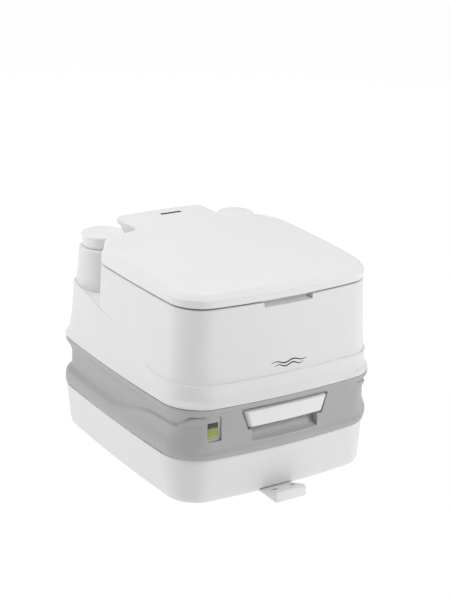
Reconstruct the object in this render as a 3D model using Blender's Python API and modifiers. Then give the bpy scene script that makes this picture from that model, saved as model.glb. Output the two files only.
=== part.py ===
"""Portable two-tank toilet for caravans, modelled as an assembly.

Upper unit: flush-water tank with bowl, seat, lid, filler cap and bellows pump.
Lower unit: waste-holding tank with slide valve, level gauge, vent and pour-out spout.
Frame: origin on the floor under the centre of the rim, +X right, +Y to the rear, +Z up.
All driving dimensions are in millimetres and are turned into metres by MM.
"""
import math
import bpy
import bmesh
from mathutils import Matrix, Vector

MM = 0.001
GAP = 0.3                    # running gap between neighbouring pieces
WALL = 3.2                   # blow-moulded wall

# sections: half width, side bow, front, front bow, rear, front corner R, rear corner R
RIM = (163.9, 7.1, 179.1, 11.9, 191.0, 46.0, 46.0)
LIDS = (154.4, 3.3, 166.2, 13.1, 97.0, 40.0, 45.0)
FOOT = (156.8, 5.4, 171.6, 10.4, 183.0, 37.0, 40.0)
BELT = (165.0, 4.2, 173.9, 12.0, 187.0, 50.0, 48.0)

Z_BELT = 68.0                # white tub meets grey tank top
Z_RIM = 143.5                # grey rim meets white flush tank
Z_DECK = 279.8               # seat deck
Z_LID = 281.0                # lower edge of the lid
Z_LID_EDGE = 292.5           # upper edge of the lid's skirt
TONGUE = 75.0                # half width of the lid's rear tongue
TONGUE_REAR = 172.0
NOTCH_R = 17.0
TOWER = (115.5, 132.5)       # filler (left) and pump (right) towers
HINGE_Y, HINGE_Z = 162.0, 302.0
BOWL_OUT = (0.0, -15.0)      # outlet centre
SPOUT = (118.0, 150.0)       # swivel axis of the pour-out spout
SPOUT_Z = 116.0
GAUGE = (-117.0, -134.0, 105.0)   # level gauge pivot
GAUGE_ARM, GAUGE_DIP = 92.0, 40.0
VENT = (-100.0, 138.0)
LATCH = (-50.0, 188.6, 104.0)
LATCH_OPEN = 25.0
BRACKET_X = -10.0

for stale in list(bpy.data.objects):
    bpy.data.objects.remove(stale, do_unlink=True)
scene = bpy.context.scene
parts = bpy.data.collections.new("portable_toilet")
cutters = bpy.data.collections.new("cutters")
scene.collection.children.link(parts)
scene.collection.children.link(cutters)


# ---------------------------------------------------------------- materials
def material(name, colour, rough=0.4, metal=0.0, alpha=1.0):
    m = bpy.data.materials.new(name)
    m.use_nodes = True
    b = m.node_tree.nodes["Principled BSDF"]
    b.inputs["Base Color"].default_value = (*colour, 1.0)
    b.inputs["Roughness"].default_value = rough
    b.inputs["Metallic"].default_value = metal
    b.inputs["Alpha"].default_value = alpha
    return m


PALETTE = {
    "white": ((0.80, 0.80, 0.79), 0.42),
    "lid": ((0.86, 0.86, 0.85), 0.45),
    "grey": ((0.40, 0.40, 0.415), 0.48),
    "dark": ((0.10, 0.10, 0.11), 0.6),
    "rubber": ((0.05, 0.05, 0.055), 0.75),
    "blade": ((0.33, 0.34, 0.36), 0.35),
    "green": ((0.35, 0.50, 0.08), 0.4),
    "lens": ((0.62, 0.72, 0.45), 0.12),
    "steel": ((0.62, 0.62, 0.60), 0.3),
    "bracket": ((0.62, 0.62, 0.62), 0.5),
}


# ---------------------------------------------------------------- helpers
def finish(obj, tone, smooth=True):
    c, r = PALETTE[tone]
    obj.data.materials.clear()
    obj.data.materials.append(material(obj.name + "_mat", c, r, 1.0 if tone == "steel" else 0.0))
    if smooth:
        obj.data.shade_smooth()
        obj.data.set_sharp_from_angle(angle=math.radians(32))
    return obj


def from_bm(name, bm, cutter=False):
    me = bpy.data.meshes.new(name)
    bm.to_mesh(me)
    bm.free()
    obj = bpy.data.objects.new(name, me)
    (cutters if cutter else parts).objects.link(obj)
    if cutter:
        obj.hide_render = True
        obj.display_type = "WIRE"
    return obj


def outline(sec, nc=5, nf=6, ns=6, nr=4):
    """Bowed rounded rectangle, anticlockwise from above, left end of the front-left corner first."""
    hw, sb, yf, bow, yr, rf, rr = sec
    pts = []

    def arc(cx, cy, r, a0):
        for i in range(nc + 1):
            a = math.radians(a0 + 90.0 * i / nc)
            pts.append((cx + r * math.cos(a), cy + r * math.sin(a)))

    def run(a, b, n):
        for i in range(1, n):
            pts.append((a[0] + (b[0] - a[0]) * i / n, a[1] + (b[1] - a[1]) * i / n))

    arc(-hw + rf, -yf + rf, rf, 180)
    run((-hw + rf, -yf), (hw - rf, -yf), nf)
    arc(hw - rf, -yf + rf, rf, 270)
    run((hw, -yf + rf), (hw, yr - rr), ns)
    arc(hw - rr, yr - rr, rr, 0)
    run((hw - rr, yr), (-hw + rr, yr), nr)
    arc(-hw + rr, yr - rr, rr, 90)
    run((-hw, yr - rr), (-hw, -yf + rf), ns)
    ym, hy = (yr - yf) / 2, (yr + yf) / 2
    out = []
    for x, y in pts:
        fr = min(max(-y / yf, 0.0), 1.0)
        ny = y - bow * (1 - (x / hw) ** 2) * fr ** 2
        nx = x + math.copysign(sb * max(0.0, 1 - ((y - ym) / hy) ** 2) * min(abs(x) / hw, 1) ** 2, x)
        out.append((nx, ny))
    return out


def coarse(sec):
    return outline(sec, 3, 4, 4, 2)


def lerp(a, b, t):
    return tuple(p + (q - p) * t for p, q in zip(a, b))


def inset(sec, side, front=None, rear=None):
    front = side if front is None else front
    rear = side if rear is None else rear
    hw, sb, yf, bow, yr, rf, rr = sec
    return (hw - side, sb, yf - front, bow, yr - rear,
            max(rf - 0.8 * side, 12.0), max(rr - 0.8 * side, 12.0))


def smooth(a, b, v):
    t = min(max((v - a) / (b - a), 0.0), 1.0)
    return t * t * (3 - 2 * t)


def poly(points, z):
    return [(x, y, z) for x, y in points]


def skin(name, rings, cutter=False, ruled_top=False, ruled_bottom=False, mid=None):
    """Closed loft through rings of equal count, lowest ring first."""
    bm = bmesh.new()
    vs = [[bm.verts.new((x * MM, y * MM, z * MM)) for x, y, z in r] for r in rings]
    n = len(rings[0])
    for lo, hi in zip(vs, vs[1:]):
        for i in range(n):
            j = (i + 1) % n
            bm.faces.new((lo[i], lo[j], hi[j], hi[i]))

    def cap(ring, pts, ruled, up, mid):
        if not ruled:
            bm.faces.new(ring if up else ring[::-1])
            return
        # cross strips between mirrored points, front to rear
        left = sorted((i for i in range(n) if pts[i][0] < -1e-6), key=lambda i: i)
        pair = {i: min(range(n), key=lambda k: (pts[k][0] + pts[i][0]) ** 2 + (pts[k][1] - pts[i][1]) ** 2)
                for i in left}
        cen = [i for i in range(n) if abs(pts[i][0]) <= 1e-6]
        front = min(cen, key=lambda i: pts[i][1])
        rear = max(cen, key=lambda i: pts[i][1])
        order, i = [], front
        while i != rear:
            order.append(i)
            i = (i - 1) % n
        order.append(rear)
        groups = []
        for i in order:
            if groups and abs(pts[i][1] - pts[groups[-1][0]][1]) < 0.01:
                groups[-1].append(i)
            else:
                groups.append([i])
        prev = None
        for g in groups:
            if front in g or rear in g:
                core = ring[front if front in g else rear]
            elif mid is not None:
                core = bm.verts.new((0.0, pts[g[0]][1] * MM, mid(pts[g[0]][1]) * MM))
            else:
                core = None
            lefts = [ring[i] for i in g if i not in (front, rear)]
            rights = [ring[pair[i]] for i in g if i not in (front, rear)]
            if prev is not None:
                pl, pc, pr = prev
                if mid is None:
                    faces = [pl + ([pc] if pc and not pl else []) + pr
                             + rights + ([core] if core else []) + lefts[::-1]]
                else:
                    faces = [pl + [pc, core] + lefts[::-1], pr + [pc, core] + rights[::-1]]
                for f in faces:
                    if len(f) > 2:
                        bm.faces.new(f)
            prev = (lefts[-1:], core, rights[-1:])

    cap(vs[0], rings[0], ruled_bottom, False, None)
    cap(vs[-1], rings[-1], ruled_top, True, mid)
    bmesh.ops.recalc_face_normals(bm, faces=bm.faces)
    return from_bm(name, bm, cutter)


def box(name, x0, x1, y0, y1, z0, z1, bevel=0.0, cutter=False, seg=1):
    bm = bmesh.new()
    bmesh.ops.create_cube(bm, size=1.0)
    bmesh.ops.scale(bm, vec=((x1 - x0) * MM, (y1 - y0) * MM, (z1 - z0) * MM), verts=bm.verts)
    obj = from_bm(name, bm, cutter)
    obj.location = ((x0 + x1) / 2 * MM, (y0 + y1) / 2 * MM, (z0 + z1) / 2 * MM)
    if bevel:
        m = obj.modifiers.new("edge", "BEVEL")
        m.width = bevel * MM
        m.segments = seg
        m.limit_method = "ANGLE"
    return obj


def cylinder(name, r, length, at, axis="Z", seg=24, r2=None, cutter=False):
    bm = bmesh.new()
    bmesh.ops.create_cone(bm, cap_ends=True, segments=seg, radius1=r * MM,
                          radius2=(r if r2 is None else r2) * MM, depth=length * MM)
    rot = {"Z": Matrix.Identity(3), "X": Matrix.Rotation(math.pi / 2, 3, "Y"),
           "Y": Matrix.Rotation(-math.pi / 2, 3, "X")}[axis]
    bmesh.ops.rotate(bm, verts=bm.verts, cent=(0, 0, 0), matrix=rot)
    obj = from_bm(name, bm, cutter)
    obj.location = Vector(at) * MM
    return obj


def turned(name, profile, at=(0, 0, 0), steps=28, closed=False, cutter=False, axis="Z"):
    """Screw a profile of (radius, height) that runs top to bottom on its outer side."""
    me = bpy.data.meshes.new(name)
    verts = [(r * MM, 0.0, z * MM) for r, z in profile]
    edges = [(i, i + 1) for i in range(len(verts) - 1)]
    if closed:
        edges.append((len(verts) - 1, 0))
    me.from_pydata(verts, edges, [])
    obj = bpy.data.objects.new(name, me)
    (cutters if cutter else parts).objects.link(obj)
    if cutter:
        obj.hide_render = True
        obj.display_type = "WIRE"
    m = obj.modifiers.new("turn", "SCREW")
    m.steps = m.render_steps = steps
    m.use_merge_vertices = True
    m.merge_threshold = 0.00002
    m.use_smooth_shade = True
    obj.location = Vector(at) * MM
    if axis == "X":
        obj.rotation_euler = (0, math.pi / 2, 0)
    elif axis == "-X":
        obj.rotation_euler = (0, -math.pi / 2, 0)
    return obj


def ring(name, r0, r1, z0, z1, at=(0, 0), steps=28, cutter=False):
    return turned(name, [(r0, z1), (r1, z1), (r1, z0), (r0, z0)], (at[0], at[1], 0), steps, True, cutter)


def cut(obj, tool, op="DIFFERENCE"):
    m = obj.modifiers.new(op.lower(), "BOOLEAN")
    m.operation = op
    m.solver = "EXACT"
    m.object = tool
    return obj


def join(obj, tool):
    return cut(obj, tool, "UNION")


def prism_x(name, pts, x0, x1, cutter=False):
    """Outline in Y and Z, extruded along X."""
    bm = bmesh.new()
    vs = [bm.verts.new((x0 * MM, y * MM, z * MM)) for y, z in pts]
    f = bm.faces.new(vs)
    g = bmesh.ops.extrude_face_region(bm, geom=[f])
    bmesh.ops.translate(bm, vec=((x1 - x0) * MM, 0, 0),
                        verts=[e for e in g["geom"] if isinstance(e, bmesh.types.BMVert)])
    bmesh.ops.recalc_face_normals(bm, faces=bm.faces)
    return from_bm(name, bm, cutter)


def prism_y(name, pts, y0, y1, cutter=False):
    """Outline in X and Z, extruded along Y."""
    bm = bmesh.new()
    vs = [bm.verts.new((x * MM, y0 * MM, z * MM)) for x, z in pts]
    f = bm.faces.new(vs)
    g = bmesh.ops.extrude_face_region(bm, geom=[f])
    bmesh.ops.translate(bm, vec=(0, (y1 - y0) * MM, 0),
                        verts=[e for e in g["geom"] if isinstance(e, bmesh.types.BMVert)])
    bmesh.ops.recalc_face_normals(bm, faces=bm.faces)
    return from_bm(name, bm, cutter)


def strap(a, ra, b, rb, n=8):
    """Outline of two circles with their common tangents (Y, Z plane)."""
    dy, dz = b[0] - a[0], b[1] - a[1]
    d = math.hypot(dy, dz)
    base = math.atan2(dz, dy)
    off = math.acos((ra - rb) / d)
    pts = []
    for i in range(n + 1):
        t = base + off + (2 * math.pi - 2 * off) * i / n
        pts.append((a[0] + ra * math.cos(t), a[1] + ra * math.sin(t)))
    for i in range(n + 1):
        t = base - off + 2 * off * i / n
        pts.append((b[0] + rb * math.cos(t), b[1] + rb * math.sin(t)))
    return pts


def tube(name, pts, r, cutter=False, res=3):
    """Round tube along a smooth path, as a mesh."""
    cu = bpy.data.curves.new(name + "_path", "CURVE")
    cu.dimensions = "3D"
    sp = cu.splines.new("POLY")
    sp.points.add(len(pts) - 1)
    for p, q in zip(sp.points, pts):
        p.co = (q[0] * MM, q[1] * MM, q[2] * MM, 1.0)
    cu.bevel_depth = r * MM
    cu.bevel_resolution = res
    cu.use_fill_caps = True
    tmp = bpy.data.objects.new(name + "_path", cu)
    scene.collection.objects.link(tmp)
    bpy.context.view_layer.update()
    me = bpy.data.meshes.new_from_object(tmp.evaluated_get(bpy.context.evaluated_depsgraph_get()))
    bm = bmesh.new()
    bm.from_mesh(me)
    bmesh.ops.remove_doubles(bm, verts=bm.verts, dist=0.00001)
    bmesh.ops.recalc_face_normals(bm, faces=bm.faces)
    bpy.data.objects.remove(tmp, do_unlink=True)
    bpy.data.meshes.remove(me)
    return from_bm(name, bm, cutter)


# ---------------------------------------------------------------- waste tank, lower tub
tub_rings = [(0.0, inset(FOOT, 9.0)), (1.3, inset(FOOT, 4.6)), (4.5, inset(FOOT, 1.2)), (9.0, lerp(FOOT, BELT, 0.06)),
             (38.0, lerp(FOOT, BELT, 0.58)), (Z_BELT, BELT)]
waste_tank_base = skin("waste_tank_base", [poly(outline(s), z) for z, s in tub_rings])
tub_in = [(WALL, inset(FOOT, 12.0)), (9.0, inset(FOOT, 5.0)), (38.0, inset(lerp(FOOT, BELT, 0.58), WALL)),
          (75.0, inset(BELT, WALL))]
tub_cavity = skin("tub_cavity", [poly(coarse(s), z) for z, s in tub_in], cutter=True)
for tag, x, y0, y1 in (("f", BRACKET_X, -205, -151), ("r", -BRACKET_X, 151, 205)):
    cut(tub_cavity, box("keep_" + tag, x - 31, x + 31, y0, y1, -6, 10.0, cutter=True))
cut(waste_tank_base, tub_cavity)
for tag, x, y0, y1 in (("f", BRACKET_X, -205, -155), ("r", -BRACKET_X, 155, 205)):
    cut(waste_tank_base, box("slot_" + tag, x - 27, x + 27, y0, y1, -3, 6.2, cutter=True))
finish(waste_tank_base, "white")

# ---------------------------------------------------------------- waste tank, grey upper half
# height, inset on the sides and rear (waisted), inset across the front (full fascia)
BAND = [(Z_BELT + GAP, 3.4, 3.6), (70.3, 1.0, 1.6), (76.0, 0.3, 0.9), (84.0, 0.9, 1.4), (89.5, 2.8, 1.8),
        (93.0, 6.2, 2.1), (99.0, 8.4, 2.6), (111.0, 9.3, 3.2), (122.0, 8.4, 3.8), (129.0, 5.4, 4.6),
        (134.0, 2.4, 4.6), (137.5, 1.0, 2.2), (Z_RIM - 0.2, 0.5, 0.7)]


def band_ring(z, side, front):
    a, b = outline(inset(RIM, side)), outline(inset(RIM, front))
    out = []
    for p, q in zip(a, b):
        w = smooth(150, 132, abs(q[0])) if q[1] < -120 else 0.0
        out.append((p[0] + (q[0] - p[0]) * w, p[1] + (q[1] - p[1]) * w, z))
    return out


waste_tank_top = skin("waste_tank_top", [band_ring(*b) for b in BAND])
tray = skin("tray_cut", [poly(outline(inset(RIM, 15.0, 27.0)), 117.0), poly(outline(inset(RIM, 14.0, 26.0)), 150.0)],
            cutter=True)
cut(waste_tank_top, tray)
top_cavity = skin("top_cavity", [poly(coarse(inset(BELT, 3.4)), 60.0), poly(coarse(inset(RIM, 6.5, 6.5)), 74.0),
                                 poly(coarse(inset(RIM, 9.0, 6.0)), 80.0), poly(coarse(inset(RIM, 12.7, 7.5)), 88.0),
                                 poly(coarse(inset(RIM, 13.2, 8.0)), 113.8)], cutter=True)
cut(top_cavity, prism_y("pocket_keep", [(-78, 150), (-66.5, 100.2), (-60.2, 100.2), (-58.6, 83.2), (58.6, 83.2),
                                        (60.2, 100.2), (66.5, 100.2), (78, 150)], -215, -167.0, cutter=True))
cut(top_cavity, box("window_keep", -129.6, -104.4, -215, -173.4, 94.4, 150, cutter=True))
cut(top_cavity, box("spout_pocket_keep", 17.0, 158.5, 121.2, 230, 80.6, 160, cutter=True))
cut(waste_tank_top, top_cavity)
cut(waste_tank_top, box("spout_pocket", 20.5, 155.0, 124.6, 230, 84.0, 160, cutter=True))
cut(waste_tank_top, cylinder("port_hole", 41.0, 30, (*BOWL_OUT, 116), seg=36, cutter=True))
cut(waste_tank_top, cylinder("spout_hole", 16.0, 20, (*SPOUT, 82), seg=24, cutter=True))
cut(waste_tank_top, cylinder("vent_hole", 4.4, 20, (*VENT, 116), seg=16, cutter=True))
# pull-handle pocket, finger recess below it and slot for the valve rod
cut(waste_tank_top, prism_y("handle_pocket", [(-74, 133.6), (-62.5, 103.4), (-56.5, 103.4), (-55, 86.5), (55, 86.5),
                                              (56.5, 103.4), (62.5, 103.4), (74, 133.6)], -210, -170.5, cutter=True))
cut(waste_tank_top, box("rod_slot", -9.5, 9.5, -176, -150, 123.4, 131.6, cutter=True))
# level window pocket and sight hole
cut(waste_tank_top, box("window_pocket", -126, -108, -215, -177, 98, 124, cutter=True))
cut(waste_tank_top, box("window_hole", -123, -111, -180, -140, 100.5, 113.0, cutter=True))
# hanger lugs for the gauge axle, below the deck
for tag, x in (("a", GAUGE[0] - 14.5), ("b", GAUGE[0] + 11.0)):
    lug = box("gauge_lug_" + tag, x, x + 3.5, GAUGE[1] - 6, GAUGE[1] + 6, 98.0, 115.2, cutter=True)
    join(waste_tank_top, lug)
cut(waste_tank_top, cylinder("axle_hole", 2.9, 60, GAUGE, "X", 16, cutter=True))
# latch ears at the rear
for tag, x in (("a", LATCH[0] - 23.5), ("b", LATCH[0] + 19.5)):
    ear = prism_x("latch_ear_" + tag, strap((176, 104), 9, (LATCH[1], LATCH[2]), 5.0, 6), x, x + 4, cutter=True)
    join(waste_tank_top, ear)
cut(waste_tank_top, box("lever_recess", LATCH[0] - 19.4, LATCH[0] + 19.4, 184.4, 215, 124, 150, cutter=True))
cut(waste_tank_top, cylinder("latch_hole", 2.4, 70, LATCH, "X", 16, cutter=True))
finish(waste_tank_top, "grey")

# ---------------------------------------------------------------- slide valve
vy0, vy1 = -75.0, 47.0
valve_base = box("valve_base", -62, 62, vy0, vy1, 117.0 + GAP, 129.9)
cut(valve_base, box("blade_channel", -52.3, 52.3, vy0 - 10, 34.8, 125.4, 135, cutter=True))
cut(valve_base, cylinder("port_hole_b", 41.0, 40, (*BOWL_OUT, 124), seg=36, cutter=True))
valve_cover = box("valve_cover", -62, 62, vy0, vy1, 130.2, 134.2)
cut(valve_cover, cylinder("port_hole_c", 41.0, 40, (*BOWL_OUT, 124), seg=36, cutter=True))
for i, (x, y) in enumerate(((-57, -69), (57, -69), (57, 41), (-57, 41))):
    hole = cylinder("screw_hole_%d" % i, 2.2, 40, (x, y, 137), seg=12, cutter=True)
    hole.location.z = 0.140
    cut(valve_base, hole)
    cut(valve_cover, hole)
    s = turned("valve_screw_%d" % (i + 1), [(0, 137.2), (2.6, 137.0), (3.8, 135.6), (3.8, 134.5), (1.8, 134.5),
                                            (1.8, 121.2), (0, 120.6)], (x, y, 0), 12)
    finish(s, "steel")
finish(valve_base, "dark", False)
finish(valve_cover, "dark", False)
valve_blade = box("valve_blade", -51.9, 51.9, -68, 34.4, 125.7, 129.3, bevel=0.6)
finish(valve_blade, "blade")
valve_rod = box("valve_rod", -7, 7, -178.2, -68.3, 125.9, 129.1, bevel=0.5)
finish(valve_rod, "blade")
lip_seal = turned("valve_lip_seal", [(42.2, 139.2), (45.5, 139.4), (46.5, 137.6), (50.5, 136.0), (50.5, 134.5),
                                     (42.6, 134.5), (42.2, 136)], (*BOWL_OUT, 0), 36, True)
finish(lip_seal, "rubber")
# white pull: shallow tapered block, bowed like the fascia
bm = bmesh.new()
cols = 8
front_t, front_b, back_t, back_b = [], [], [], []
for i in range(cols + 1):
    u = -1 + 2 * i / cols
    bowy = 1.4 * u * u
    front_t.append(bm.verts.new((66.0 * u * MM, (-190.6 + bowy) * MM, 130.4 * MM)))
    front_b.append(bm.verts.new((57.5 * u * MM, (-190.0 + bowy) * MM, 105.2 * MM)))
    back_t.append(bm.verts.new((69.5 * u * MM, -178.6 * MM, 131.4 * MM)))
    back_b.append(bm.verts.new((60.0 * u * MM, -178.6 * MM, 104.6 * MM)))
for i in range(cols):
    bm.faces.new((front_b[i], front_b[i + 1], front_t[i + 1], front_t[i]))
    bm.faces.new((back_b[i + 1], back_b[i], back_t[i], back_t[i + 1]))
    bm.faces.new((front_t[i], front_t[i + 1], back_t[i + 1], back_t[i]))
    bm.faces.new((front_b[i + 1], front_b[i], back_b[i], back_b[i + 1]))
bm.faces.new((front_b[0], front_t[0], back_t[0], back_b[0]))
bm.faces.new((front_t[-1], front_b[-1], back_b[-1], back_t[-1]))
bmesh.ops.recalc_face_normals(bm, faces=bm.faces)
valve_handle = from_bm("valve_handle", bm)
finish(valve_handle, "lid")

# ---------------------------------------------------------------- level gauge
level_window = box("level_window", -125.7, -108.3, -180.2, -177.3, 98.3, 123.7, bevel=0.6)
finish(level_window, "lens")
level_axle = cylinder("level_axle", 2.5, 32, GAUGE, "X", 14)
finish(level_axle, "steel")
sector = [(2.85 * math.cos(math.radians(a)), 2.85 * math.sin(math.radians(a))) for a in range(0, 360, 30)]
a0, a1 = 152.0, 245.0
fan = [(15.0 * math.cos(math.radians(a0 + (a1 - a0) * i / 8)), 15.0 * math.sin(math.radians(a0 + (a1 - a0) * i / 8)))
       for i in range(9)]
hub = [(5.6 * math.cos(math.radians(a)), 5.6 * math.sin(math.radians(a))) for a in (270, 300, 330, 0, 30, 60, 90)]
level_flag = prism_x("level_flag", [(GAUGE[1] + y, GAUGE[2] + z) for y, z in fan + hub], GAUGE[0] - 8.5, GAUGE[0] + 8.5)
cut(level_flag, cylinder("flag_bore", 2.8, 60, GAUGE, "X", 14, cutter=True))
finish(level_flag, "green")
dip = math.radians(GAUGE_DIP)
arm_dir = (math.cos(dip), -math.sin(dip))
arm_pts = [(GAUGE[0], GAUGE[1] + arm_dir[0] * t, GAUGE[2] + arm_dir[1] * t) for t in (6.4, 30, 60, GAUGE_ARM - 14.6)]
level_arm = tube("level_arm", arm_pts, 2.0, res=1)
finish(level_arm, "blade")
fl = (GAUGE[0], GAUGE[1] + arm_dir[0] * GAUGE_ARM, GAUGE[2] + arm_dir[1] * GAUGE_ARM)
level_float = turned("level_float", [(0, 15), (8, 14.4), (13, 11), (14.2, 6), (14.2, -6), (13, -11), (8, -14.4), (0, -15)],
                     fl, 18, axis="X")
finish(level_float, "white")

# ---------------------------------------------------------------- vent
vx, vy = VENT
vent_button = turned("vent_button", [(0, 127.6), (6, 127.2), (9, 125.6), (9, 122.6), (3.6, 122.6), (3.6, 110.4),
                                     (0, 110.4)], (vx, vy, 0), 20)
finish(vent_button, "dark")
vent_disc = turned("vent_valve_disc", [(0, 110.1), (8.5, 110.1), (8.5, 107.4), (7.5, 106.6), (0, 106.6)], (vx, vy, 0), 20)
finish(vent_disc, "dark")
vent_seal = ring("vent_seal", 4.8, 8.3, 110.4, 113.2, VENT, 20)
finish(vent_seal, "rubber")
turns, n = 3, 36
helix = [(vx + 6.0 * math.cos(2 * math.pi * turns * i / n), vy + 6.0 * math.sin(2 * math.pi * turns * i / n),
          118.1 + 3.7 * i / n) for i in range(n + 1)]
vent_spring = tube("vent_spring", helix, 0.42, res=1)
finish(vent_spring, "steel")

# ---------------------------------------------------------------- pour-out spout
sx, sy = SPOUT
collar = ring("spout_collar", 18.4, 24.0, 84.0 + GAP, 92.0, SPOUT, 28)
finish(collar, "dark")
R = 18.0
path = [(sx, sy, 84.6), (sx, sy, 92.0), (sx, sy, SPOUT_Z - R)]
for i in range(1, 9):
    a = math.pi / 2 * i / 8
    path.append((sx - R + R * math.cos(a), sy, SPOUT_Z - R + R * math.sin(a)))
path += [(sx - 30, sy, SPOUT_Z), (65.4, sy, SPOUT_Z)]
pour_spout = tube("pour_spout", path, 17.2, res=4)
bore = [(sx, sy, 78.0)] + path[1:-1] + [(60.0, sy, SPOUT_Z)]
cut(pour_spout, tube("spout_bore", bore, 14.0, cutter=True, res=4))
spout_lip = turned("spout_lip", [(14.6, 2.0), (18.3, 2.0), (18.3, -2.0), (14.6, -2.0)], (86.0, sy, SPOUT_Z), 28, True, True, "X")
join(pour_spout, spout_lip)
finish(pour_spout, "grey")
# cap and its seal, axis along X, open towards +X
spout_cap = turned("spout_cap", [(0, 9.0), (19.5, 9.0), (22.0, 7.5), (22.0, -7.5), (18.9, -7.5), (18.9, 5.2), (0, 5.2)],
                   (67.0, sy, SPOUT_Z), 28, False, False, "-X")
for i in range(6):
    a = math.radians(60 * i)
    rib = box("cap_rib_%d" % i, -7.0, 6.0, -1.6, 1.6, 21.0, 23.0, cutter=True)
    rib.matrix_world = (Matrix.Translation(Vector((67.0, sy, SPOUT_Z)) * MM) @ Matrix.Rotation(a, 4, "X")
                        @ Matrix.Translation(Vector((0.0, 0.0, 22.0)) * MM))
    join(spout_cap, rib)
finish(spout_cap, "grey")
spout_seal = turned("spout_cap_seal", [(12.0, 1.4), (18.4, 1.4), (18.4, -1.4), (12.0, -1.4)], (63.6, sy, SPOUT_Z), 28, True,
                    False, "X")
finish(spout_seal, "rubber")

# ---------------------------------------------------------------- rear latch (stored open)
latch_pin = cylinder("latch_pin", 2.0, 47, LATCH, "X", 14)
finish(latch_pin, "steel")
ly, lz = LATCH[1], LATCH[2]
lever = [(ly - 4.4, lz - 2.0), (ly - 2.0, lz - 4.8), (ly + 3.0, lz - 4.8), (ly + 5.2, lz - 1), (ly + 5.0, lz + 46.0),
         (ly + 3.0, lz + 52.0), (ly - 8.5, lz + 52.0), (ly - 8.5, lz + 48.2), (ly - 1.2, lz + 48.2), (ly - 1.2, lz + 6),
         (ly - 4.2, lz + 2.6)]
rear_latch = prism_x("rear_latch", [(y - ly, z - lz) for y, z in lever], -18.8, 18.8)
rear_latch.location = Vector(LATCH) * MM
rear_latch.rotation_euler = (math.radians(-LATCH_OPEN), 0, 0)
cut(rear_latch, cylinder("latch_bore", 2.4, 70, LATCH, "X", 14, cutter=True))
finish(rear_latch, "grey", False)

# ---------------------------------------------------------------- floor brackets and their screws
PROFILE = [(219, 0), (219, 13.4), (217.4, 15), (213, 15), (183, 4.6), (160, 4.6), (158, 3.0), (158, 0)]
for tag, sgn, bx in (("front", -1, BRACKET_X), ("rear", 1, -BRACKET_X)):
    b = prism_x(tag + "_bracket", [(sgn * y, z) for y, z in PROFILE], bx - 25, bx + 25)
    for k, dx in enumerate((-15.0, 15.0)):
        px, py = bx + dx, sgn * 199.0
        bore_c = turned("%s_bore_%d" % (tag, k), [(0, 30), (4.9, 30), (4.9, 8.8), (2.5, 5.8), (2.5, -4), (0, -4)], (px, py, 0), 16,
                        cutter=True)
        cut(b, bore_c)
        s = turned("%s_screw_%s" % (tag, "left" if dx < 0 else "right"),
                   [(0, 9.3), (2.6, 9.3), (4.5, 8.7), (2.1, 5.9), (2.1, 0.9), (0, 0.3)], (px, py, 0), 16)
        finish(s, "steel")
    finish(b, "bracket", False)

# ---------------------------------------------------------------- flush tank
def z_shoulder(y):
    """Outer edge of the rear deck: it sweeps down and forward into the front crease."""
    return 176.0 + 34.5 * smooth(-105, 30, y) + 20.0 * smooth(10, 160, y)


def draft(z):
    """Inset of the tank wall from the rim at a height."""
    table = [(145.6, 0.0), (149.0, 1.4), (153.0, 3.8), (160.0, 5.8), (177.0, 8.4), (231.0, 11.6), (281.0, 13.7)]
    for (z0, d0), (z1, d1) in zip(table, table[1:]):
        if z <= z1:
            return d0 + (d1 - d0) * max(z - z0, 0.0) / (z1 - z0)
    return table[-1][1]


def base_ring(frac, extra=0.0, up=0.0, shape=outline):
    """A ring of the outer body; frac runs from just above the rim (0) to the shoulder (1)."""
    a, b = shape(inset(RIM, extra)), shape(inset(LIDS[:4] + (191.0 - 13.3,) + LIDS[5:], extra))
    out = []
    for p, q in zip(a, b):
        z = 153.0 + (z_shoulder(p[1]) - 153.0) * frac
        w = draft(z) / 13.3
        out.append((p[0] + (q[0] - p[0]) * w, p[1] + (q[1] - p[1]) * w, z + up))
    return out


def column_sec(z):
    """Seat column section: straight draft up to the lid."""
    s = lerp(RIM, LIDS, draft(z) / 13.3)
    return s[:4] + (96.5 - (z - 230) * 0.03,) + (s[5], 43.0)


rim_part = [poly(outline(inset(RIM, 1.3)), Z_RIM + GAP), poly(outline(RIM), 145.6), poly(outline(inset(RIM, 1.4)), 149.0)]
body = rim_part + [base_ring(0.0), base_ring(0.3), base_ring(0.94), base_ring(1.0, 0.8), base_ring(1.0, 20.0, 0.4)]
flush_tank = skin("flush_tank", body, ruled_top=True)
col_rings = [poly(outline(inset(column_sec(z), d)), z) for z, d in
             ((158.0, 3.0), (170.0, 1.6), (200.0, 0.3), (231.0, 0.0), (272.0, 0.0), (277.4, 0.7), (Z_DECK, 3.2))]
column = skin("column", col_rings, cutter=True)
join(flush_tank, column)
for tag, sgn, top in (("filler", -1, [(0, 297), (27.0, 297), (27.0, 285)]), ("pump", 1, [(0, 285)])):
    join(flush_tank, turned("tower_" + tag, top + [(32.8, 285), (34.2, 284.0), (34.6, 281.0), (34.8, 276.0), (38.4, 234), (39.0, 200),
                                             (0, 200)], (sgn * TOWER[0], TOWER[1], 0), 32, cutter=True))


def block(hw, y0, y1, z0, z1, r, name):
    pts = [(-hw, y0), (hw, y0)]
    for cx, a0 in ((hw - r, 0), (-hw + r, 90)):
        for i in range(5):
            a = math.radians(a0 + 90 * i / 4)
            pts.append((cx + r * math.cos(a), y1 - r + r * math.sin(a)))
    return skin(name, [poly(pts, z0), poly(pts, z1)], cutter=True)


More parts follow.
